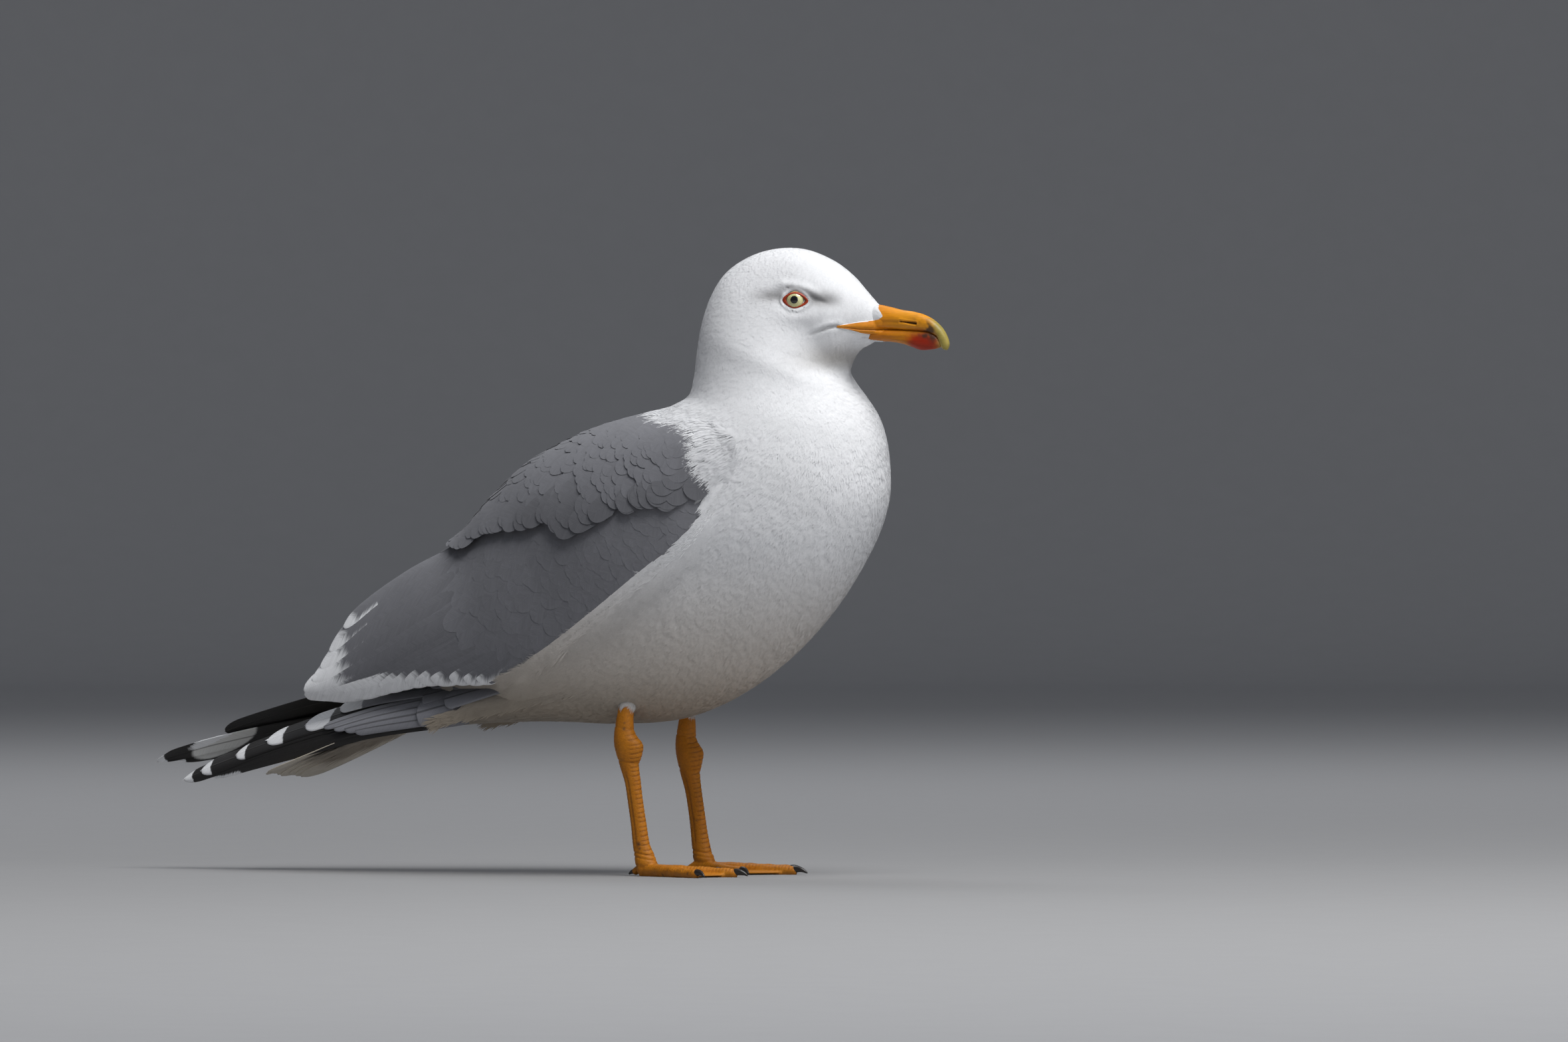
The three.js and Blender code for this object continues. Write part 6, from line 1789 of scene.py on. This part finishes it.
def leg_detail(P, N, side, axes, table):
    """Scutes down the front of the shank and along the toes, small scales elsewhere, and their colours."""
    g = rng(90 + side)
    x, y, z = P[:, 0], P[:, 1], P[:, 2]
    cx = np.interp(z, table[::-1, 1], table[::-1, 0])
    fy = y - side * LEG_Y
    angle = np.arctan2(fy, x - cx)
    frontal = smooth(0.35, 0.75, np.cos(angle) + 0.1)
    shank = smooth(8, 14, z)
    pitch = 2.75
    tilt = z + 0.55 * np.abs(fy) * 0.5 + 0.25 * np.sin(z * 0.9)
    saw = (tilt / pitch) % 1.0
    groove = np.exp(-((np.minimum(saw, 1 - saw)) / 0.10) ** 2)
    ridge = 0.30 * (1 - saw) - 0.12
    scute = (0.20 * ridge - 0.30 * groove) * frontal * shank * smooth(95, 78, z)
    # back and sides: small net of scales
    net = 0.10 * np.sin(z * 3.1 + 1.3 * np.sin(angle * 6)) * np.sin(angle * 9 + z * 0.7)
    net = net * (1 - frontal) * shank
    # groove along each side between the tendon and the bone
    seam = -0.42 * np.exp(-((np.abs(angle) - 2.05) / 0.20) ** 2) * smooth(12, 24, z) * smooth(66, 56, z)
    knob = 0.0
    disp = scute + net + seam
    # ankle and hock creases
    for level, deep, width in ((13.2, 0.45, 0.55), (10.6, 0.35, 0.5), (68.0 if side < 0 else 62.0, 0.35, 0.7), (88.5 if side < 0 else 83.0, 0.25, 0.8)):
        disp = disp - deep * np.exp(-((z + 0.18 * (x - cx) - level) / width) ** 2) * (z > 7)
    foot = smooth(10, 6.5, z)
    top = smooth(-0.1, 0.5, N[:, 2])
    best, along, mark = np.full(len(P), 99.0), np.zeros(len(P)), np.zeros(len(P))
    for name, a, b in axes:
        d = b - a
        L = np.linalg.norm(d)
        d = d / L
        q = P[:, :2] - a
        t = q @ d
        w = np.abs(q @ np.array([-d[1], d[0]]))
        w = np.where((t > 0) & (t < L + 3), w, 50)
        take = w < best
        best = np.where(take, w, best)
        along = np.where(take, t, along)
    toe = smooth(3.4, 2.4, best)
    saw = (along / 2.15) % 1.0
    groove_t = np.exp(-(np.minimum(saw, 1 - saw) / 0.11) ** 2)
    disp = disp + (0.10 * (1 - saw) - 0.26 * groove_t) * toe * top * foot
    # web: fine ribs fanning from the ankle, and a pebbled skin
    ax, ay = axes[0][1]
    fan = np.arctan2(P[:, 1] - ay, P[:, 0] - ax)
    dist = np.hypot(P[:, 0] - ax, P[:, 1] - ay)
    web = (1 - toe) * foot * smooth(6, 12, dist)
    ribs = np.sin(fan * 46 + 0.6 * np.sin(dist * 0.25)) * 0.5 + 0.5 * np.sin(dist * 1.9 + 2 * np.sin(fan * 9))
    disp = disp + 0.085 * ribs * web * top
    low = smooth(1.6, 0.6, z)
    disp = disp * (1 - low)
    out = P + N * disp[:, None]
    out[:, 2] = np.maximum(out[:, 2], 0.0)
    sole = (N[:, 2] < -0.6) & (z < 1.2) & (best < 4.2)
    out[sole, 2] = np.minimum(out[sole, 2], 0.02)
    # darker lines in the joints between scutes, with painted shade in the groove between tendon and bone and in the
    # hollows between the web's ribs
    dark = np.clip(0.75 * groove * frontal * shank * smooth(95, 78, z) + 0.6 * groove_t * toe * top * foot
                   + 0.22 * np.clip(-ribs, 0, 1) * web + 0.4 * np.exp(-((np.abs(angle) - 2.05) / 0.2) ** 2) * smooth(12, 24, z) * smooth(66, 56, z), 0, 0.8)
    n = speckle(P, 0.5, 11) * 0.5 + speckle(P, 1.8, 12) * 0.4
    pale = np.clip(0.35 + 0.3 * n + 0.35 * web, 0, 0.9)
    c = LEG_COLOUR * (1 - pale[:, None]) + LEG_PALE * pale[:, None]
    c = c * (1 - dark[:, None]) + LEG_DARK * dark[:, None]
    # old scuffs and specks of dirt
    dirt = np.zeros(len(P))
    for _ in range(46):
        i = g.integers(len(P))
        if z[i] > 92:
            continue
        r = g.uniform(0.35, 0.95)
        dirt = np.maximum(dirt, g.uniform(0.3, 0.8) * np.exp(-(((P - P[i]) ** 2).sum(1) / r ** 2)))
    for px, pz, r, s in ((64.5, 88.0, 0.9, 0.85), (64.8, 91.5, 0.6, 0.7), (73.8, 19.2, 1.3, 0.85), (74.6, 16.6, 0.8, 0.8)):
        if side < 0:
            dirt = np.maximum(dirt, s * np.exp(-(((x - px) ** 2 + (z - pz) ** 2) / r ** 2)) * (N[:, 1] < 0.2))
    c = c * (1 - dirt[:, None]) + np.array([0.05, 0.035, 0.028]) * dirt[:, None]
    worn = smooth(1.4, 0.3, z) * 0.35
    c = c * (1 - worn[:, None]) + np.array([0.30, 0.19, 0.08]) * worn[:, None]
    return out, c


# ---------------------------------------------------------------- the one skin under the coat
def skin():
    """Head, neck, trunk, wing arms and tail root as one form, set in by the coat's depth."""
    S = BODY_SHEET
    P, N = S.P[::5, ::5], S.N[::5, ::5]
    depth = 0.85 - 0.40 * smooth(-8, 6, head_side(P))
    at = np.stack(np.meshgrid(np.linspace(0, 1, 721)[::5], np.linspace(0, 1, 1401)[::5], indexing="ij"), -1)
    depth = np.where(coarse(HIDDEN, at), 4.0, depth)
    V = over_wing(P, proud=0.2) - N * depth[..., None]
    V = V[:-1]
    na, nb = V.shape[:2]
    V[:, 0] = V[:, 1].mean(0)
    V[:, -1] = V[:, -2].mean(0)
    i, j = np.meshgrid(np.arange(na), np.arange(nb - 1), indexing="ij")
    q = np.stack([i * nb + j, i * nb + j + 1, ((i + 1) % na) * nb + j + 1, ((i + 1) % na) * nb + j], -1).reshape(-1, 4)
    parts = [(V.reshape(-1, 3), q, np.zeros((0, 3), int))]
    for side in (1, -1):
        W = WINGS[side]
        ks, vs = np.linspace(0.04, 0.955, 44), np.linspace(0.035, 0.93, 80)
        Q = np.stack(np.meshgrid(ks, vs, indexing="ij"), -1)
        A, M = W.at(Q, "P", "N")
        rim = np.minimum(smooth(0.0, 0.10, Q[..., 0]), smooth(0.97, 0.86, Q[..., 0]))
        fat = 1.6 + 2.4 * rim * smooth(0.95, 0.6, Q[..., 1])
        outer, inner = A - M * 1.5, A - M * (1.5 + fat)[..., None]
        outer[..., 1] = np.where(outer[..., 1] * side < 0.5, 0.5 * side, outer[..., 1])
        inner[..., 1] = np.where(inner[..., 1] * side < 0.3, 0.3 * side, inner[..., 1])
        V2 = np.concatenate([outer.reshape(-1, 3), inner.reshape(-1, 3)])
        n1, n2 = 44, 80
        n = n1 * n2
        a = grid_quads(1, n1, n2)
        b = a[:, ::-1] + n
        ring = [i * n2 for i in range(n1)] + [(n1 - 1) * n2 + j for j in range(1, n2)] + [i * n2 + n2 - 1 for i in range(n1 - 2, -1, -1)] + [j for j in range(n2 - 2, 0, -1)]
        r = np.array([(i0, i1, i1 + n, i0 + n) for i0, i1 in zip(ring, ring[1:] + ring[:1])])
        parts.append((V2, np.concatenate([a, b, r]), np.zeros((0, 3), int)))
    # tail root
    T = Sheet(tail_point(0.0), (-1.0, 1.0, 30), (-0.25, 0.35, 30))
    top, low = T.P + np.array([0, 0, 1.2]), T.P - np.array([0, 0, 1.2])
    V3 = np.concatenate([top.reshape(-1, 3), low.reshape(-1, 3)])
    a = grid_quads(1, 30, 30)
    ring = [i * 30 for i in range(30)] + [29 * 30 + j for j in range(1, 30)] + [i * 30 + 29 for i in range(28, -1, -1)] + [j for j in range(28, 0, -1)]
    r = np.array([(i0, i1, i1 + 900, i0 + 900) for i0, i1 in zip(ring, ring[1:] + ring[:1])])
    parts.append((V3, np.concatenate([a, a[:, ::-1] + 900, r]), np.zeros((0, 3), int)))
    V, Q, T3 = joined("skin", parts)
    V, N, quads, tris = remeshed(V, Q, T3, 1.6, 2)
    tint = white_marks(V)
    for side in (1, -1):
        pick = np.nonzero((V[:, 1] * side > -1) & (V[:, 2] < 290) & (V[:, 0] < 150))[0]
        at, out, off, M = WING_AT[side].find(V[pick])
        grey = (at[:, 1] > wing_front(at[:, 0]) + 0.01) & (at[:, 0] < 0.96) & (off < 4) & (out > -8) & (at[:, 1] < 0.93)
        tint[pick[grey]] = GREY * 0.8
    piece = build("skin", V, quads, tris, colours={"tint": tint}, material=SKINMAT)
    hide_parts("head", "neck", "trunk", "tail", "wing_right", "wing_left")
    print("skin", len(V))
    return piece


def skin_material():
    m, t, b = principled("skin_down", rough=0.9, specular=0.15)
    tint = attribute(t, "tint").outputs["Color"]
    fluff = noise(t, 700.0, 3.0, 0.6)
    value = remap(t, fluff, 0.3, 0.7, 0.96, 1.0)
    t.links.new(mix(t, 1.0, tint, node(t, "ShaderNodeCombineColor", inputs={0: value, 1: value, 2: value}).outputs[0], "MULTIPLY"), b.inputs["Base Color"])
    t.links.new(bump(t, fluff, 0.0002, 0.25), b.inputs["Normal"])
    return m


SKINMAT = skin_material()


def thigh_feathers():
    """Short white feathers where each leg leaves the belly."""
    piece = Piece()
    for side in (-1, 1):
        table = leg_line(side)
        def place(a, b):
            z = 110 - 26 * b
            cx = np.interp(z, table[::-1, 1], table[::-1, 0])
            rx = 5.9 - 1.6 * b
            ry = 5.5 - 1.6 * b
            return np.stack([cx + rx * np.cos(2 * np.pi * a), LEG_Y - 9.0 * smooth(96, 116, z) + ry * np.sin(2 * np.pi * a), z], -1)
        sheet = Sheet(place, (0.0, 1.0, 73), (0.0, 1.3, 60), wrap=True)
        if side < 0:
            sheet.P[..., 1] *= -1
            sheet.measure()
        centre = np.array([70.0, side * LEG_Y, 100.0])
        if ((sheet.P - centre) * sheet.N)[..., :2].sum() < 0:
            sheet.N = -sheet.N
        g = rng(800 + side)
        n = 260
        a = g.random(n)
        front = 0.5 + 0.5 * np.cos(2 * np.pi * a)
        b = g.uniform(0.0, 0.20, n) + (0.24 * g.random(n) * (front > 0.82) if side > 0 else 0)
        Q = np.stack([a, b], -1)
        L = 6.0 + (7.0 * front ** 3 if side > 0 else 2.0 * front) + g.normal(0, 0.7, n)
        # the painted belly shade carried by white_marks gives way to near white towards the lowest tips
        tufts(piece, sheet, Q, L, 1.8, 5, 0.26, -0.3, 0.15, lambda X: white_marks(X) + (0.35 * white_marks(X) + 0.60 * WHITE - white_marks(X)) * smooth(106.5, 101.0, X[..., 2])[..., None], 41 + side, ((0, 1), (0, 1.3)), shade=0.02)
    piece.make("coat_thighs", DOWN)


# ---------------------------------------------------------------- build it all
skin()
white_coat()
white_over_wing()
wing_coat()
wing_quills()
hand_quills()
fan_feathers()
thigh_feathers()
bill()
bill_feathers()
gape()
eyes()
legs()
for n in ("primaries_right", "primaries_left"):
    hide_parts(n)


# ---------------------------------------------------------------- floor, light, camera
FLOOR, WALL = np.array([0.30, 0.30, 0.305]), np.array([0.42, 0.42, 0.425])


def stage_material(name, rough):
    m, t, b = principled(name, rough=rough, specular=0.2)
    colour = attribute(t, "tint").outputs["Color"]
    fine = noise(t, 30.0, 3.0, 0.5)
    value = remap(t, fine, 0.3, 0.7, 0.985, 1.0)
    t.links.new(mix(t, 1.0, colour, node(t, "ShaderNodeCombineColor", inputs={0: value, 1: value, 2: value}).outputs[0], "MULTIPLY"), b.inputs["Base Color"])
    return m


YAW = math.radians(25)
RIGHT = np.array([math.cos(YAW), math.sin(YAW), 0.0])
AHEAD = np.array([-math.sin(YAW), math.cos(YAW), 0.0])
AIM = np.array([0.125, 0.0583, 0.2121])


def backdrop():
    """Pale level floor that turns up, beyond every camera, into a plain grey wall all round."""
    flat, bend, height, sides = 8.8, 1.8, 6.5, 96
    rings = [(r, 0.0) for r in (0.6, 1.5, 3.0, 5.0, 7.0, flat)]
    rings += [(flat + bend * math.sin(a), bend - bend * math.cos(a)) for a in np.linspace(0.08, math.pi / 2, 16)]
    rings += [(flat + bend, height)]
    ground = np.array([0.125, 0.0583, 0.0])
    V, tone = [ground], [FLOOR]
    for r, h in rings:
        for i in range(sides):
            w = 2 * math.pi * i / sides
            V.append(ground + np.array([r * math.cos(w), r * math.sin(w), h]))
            up = smooth(6.0, 9.4, r)
            tone.append(FLOOR * (1 - up) + WALL * up)
    F = [(0, 1 + i, 1 + (i + 1) % sides) for i in range(sides)]
    for k in range(len(rings) - 1):
        for i in range(sides):
            j = (i + 1) % sides
            F.append((1 + k * sides + i, 1 + (k + 1) * sides + i, 1 + (k + 1) * sides + j, 1 + k * sides + j))
    mesh = bpy.data.meshes.new("floor")
    mesh.from_pydata([tuple(v) for v in V], [], F)
    layer = mesh.color_attributes.new("tint", "FLOAT_COLOR", "POINT")
    layer.data.foreach_set("color", np.concatenate([np.array(tone), np.ones((len(V), 1))], -1).ravel())
    for p in mesh.polygons:
        p.use_smooth = True
    floor = bpy.data.objects.new("floor", mesh)
    bpy.context.scene.collection.objects.link(floor)
    mesh.materials.append(stage_material("floor_pale", 0.85))
    floor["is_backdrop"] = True


def lamp(name, where, aim, size, watts, colour=(1, 1, 1)):
    data = bpy.data.lights.new(name, "AREA")
    data.shape, data.size, data.energy, data.color = "DISK", size, watts, colour
    o = bpy.data.objects.new(name, data)
    o.location = where
    o.rotation_euler = (Vector(aim) - Vector(where)).to_track_quat("-Z", "Y").to_euler()
    bpy.context.scene.collection.objects.link(o)
    return o


backdrop()
centre = Vector((0.06, 0.0, 0.22))
lamp("key", Vector(AIM - AHEAD * 1.0 + RIGHT * 0.65 + np.array([0, 0, 2.1])), centre, 1.7, 66, (1.0, 0.995, 0.985))
lamp("fill", Vector(AIM - AHEAD * 2.6 + RIGHT * 1.4 + np.array([0, 0, 0.9])), centre, 2.2, 15, (0.95, 0.97, 1.0))
lamp("rim", Vector(AIM + AHEAD * 1.3 - RIGHT * 0.5 + np.array([0, 0, 1.7])), centre, 1.2, 10, (0.95, 0.97, 1.0))
for number in range(4):      # washes for the wall, each facing away from the bird
    turn = math.radians(115 + 90 * number)
    out = np.array([math.cos(turn), math.sin(turn), 0.0])
    lamp("wash_%d" % number, Vector(AIM + out * 2.4 + np.array([0, 0, 2.7])), Vector(AIM + out * 6.2 + np.array([0, 0, 0.0])), 2.4, 70, (0.97, 0.98, 1.0))
world = bpy.context.scene.world or bpy.data.worlds.new("world")
bpy.context.scene.world = world
world.use_nodes = True
background = world.node_tree.nodes.get("Background")
background.inputs[0].default_value = (0.80, 0.86, 1.0, 1.0)
background.inputs[1].default_value = 0.17

camera_data = bpy.data.cameras.new("camera")
camera_data.lens, camera_data.sensor_width = 300.0, 36.0
camera_data.clip_start, camera_data.clip_end = 0.1, 60.0
camera = bpy.data.objects.new("camera", camera_data)
DISTANCE = 7.867
camera.location = Vector(AIM - AHEAD * DISTANCE)
camera.rotation_euler = Vector(AHEAD).to_track_quat("-Z", "Y").to_euler()
bpy.context.scene.collection.objects.link(camera)
bpy.context.scene.camera = camera
bpy.context.scene.view_settings.view_transform = "Standard"
bpy.context.scene.view_settings.look = "None"


def plain(box):
    return [[float(c) for c in corner] for corner in box]


{"cad": plain(CAD_BOX), "visual": plain(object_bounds())}
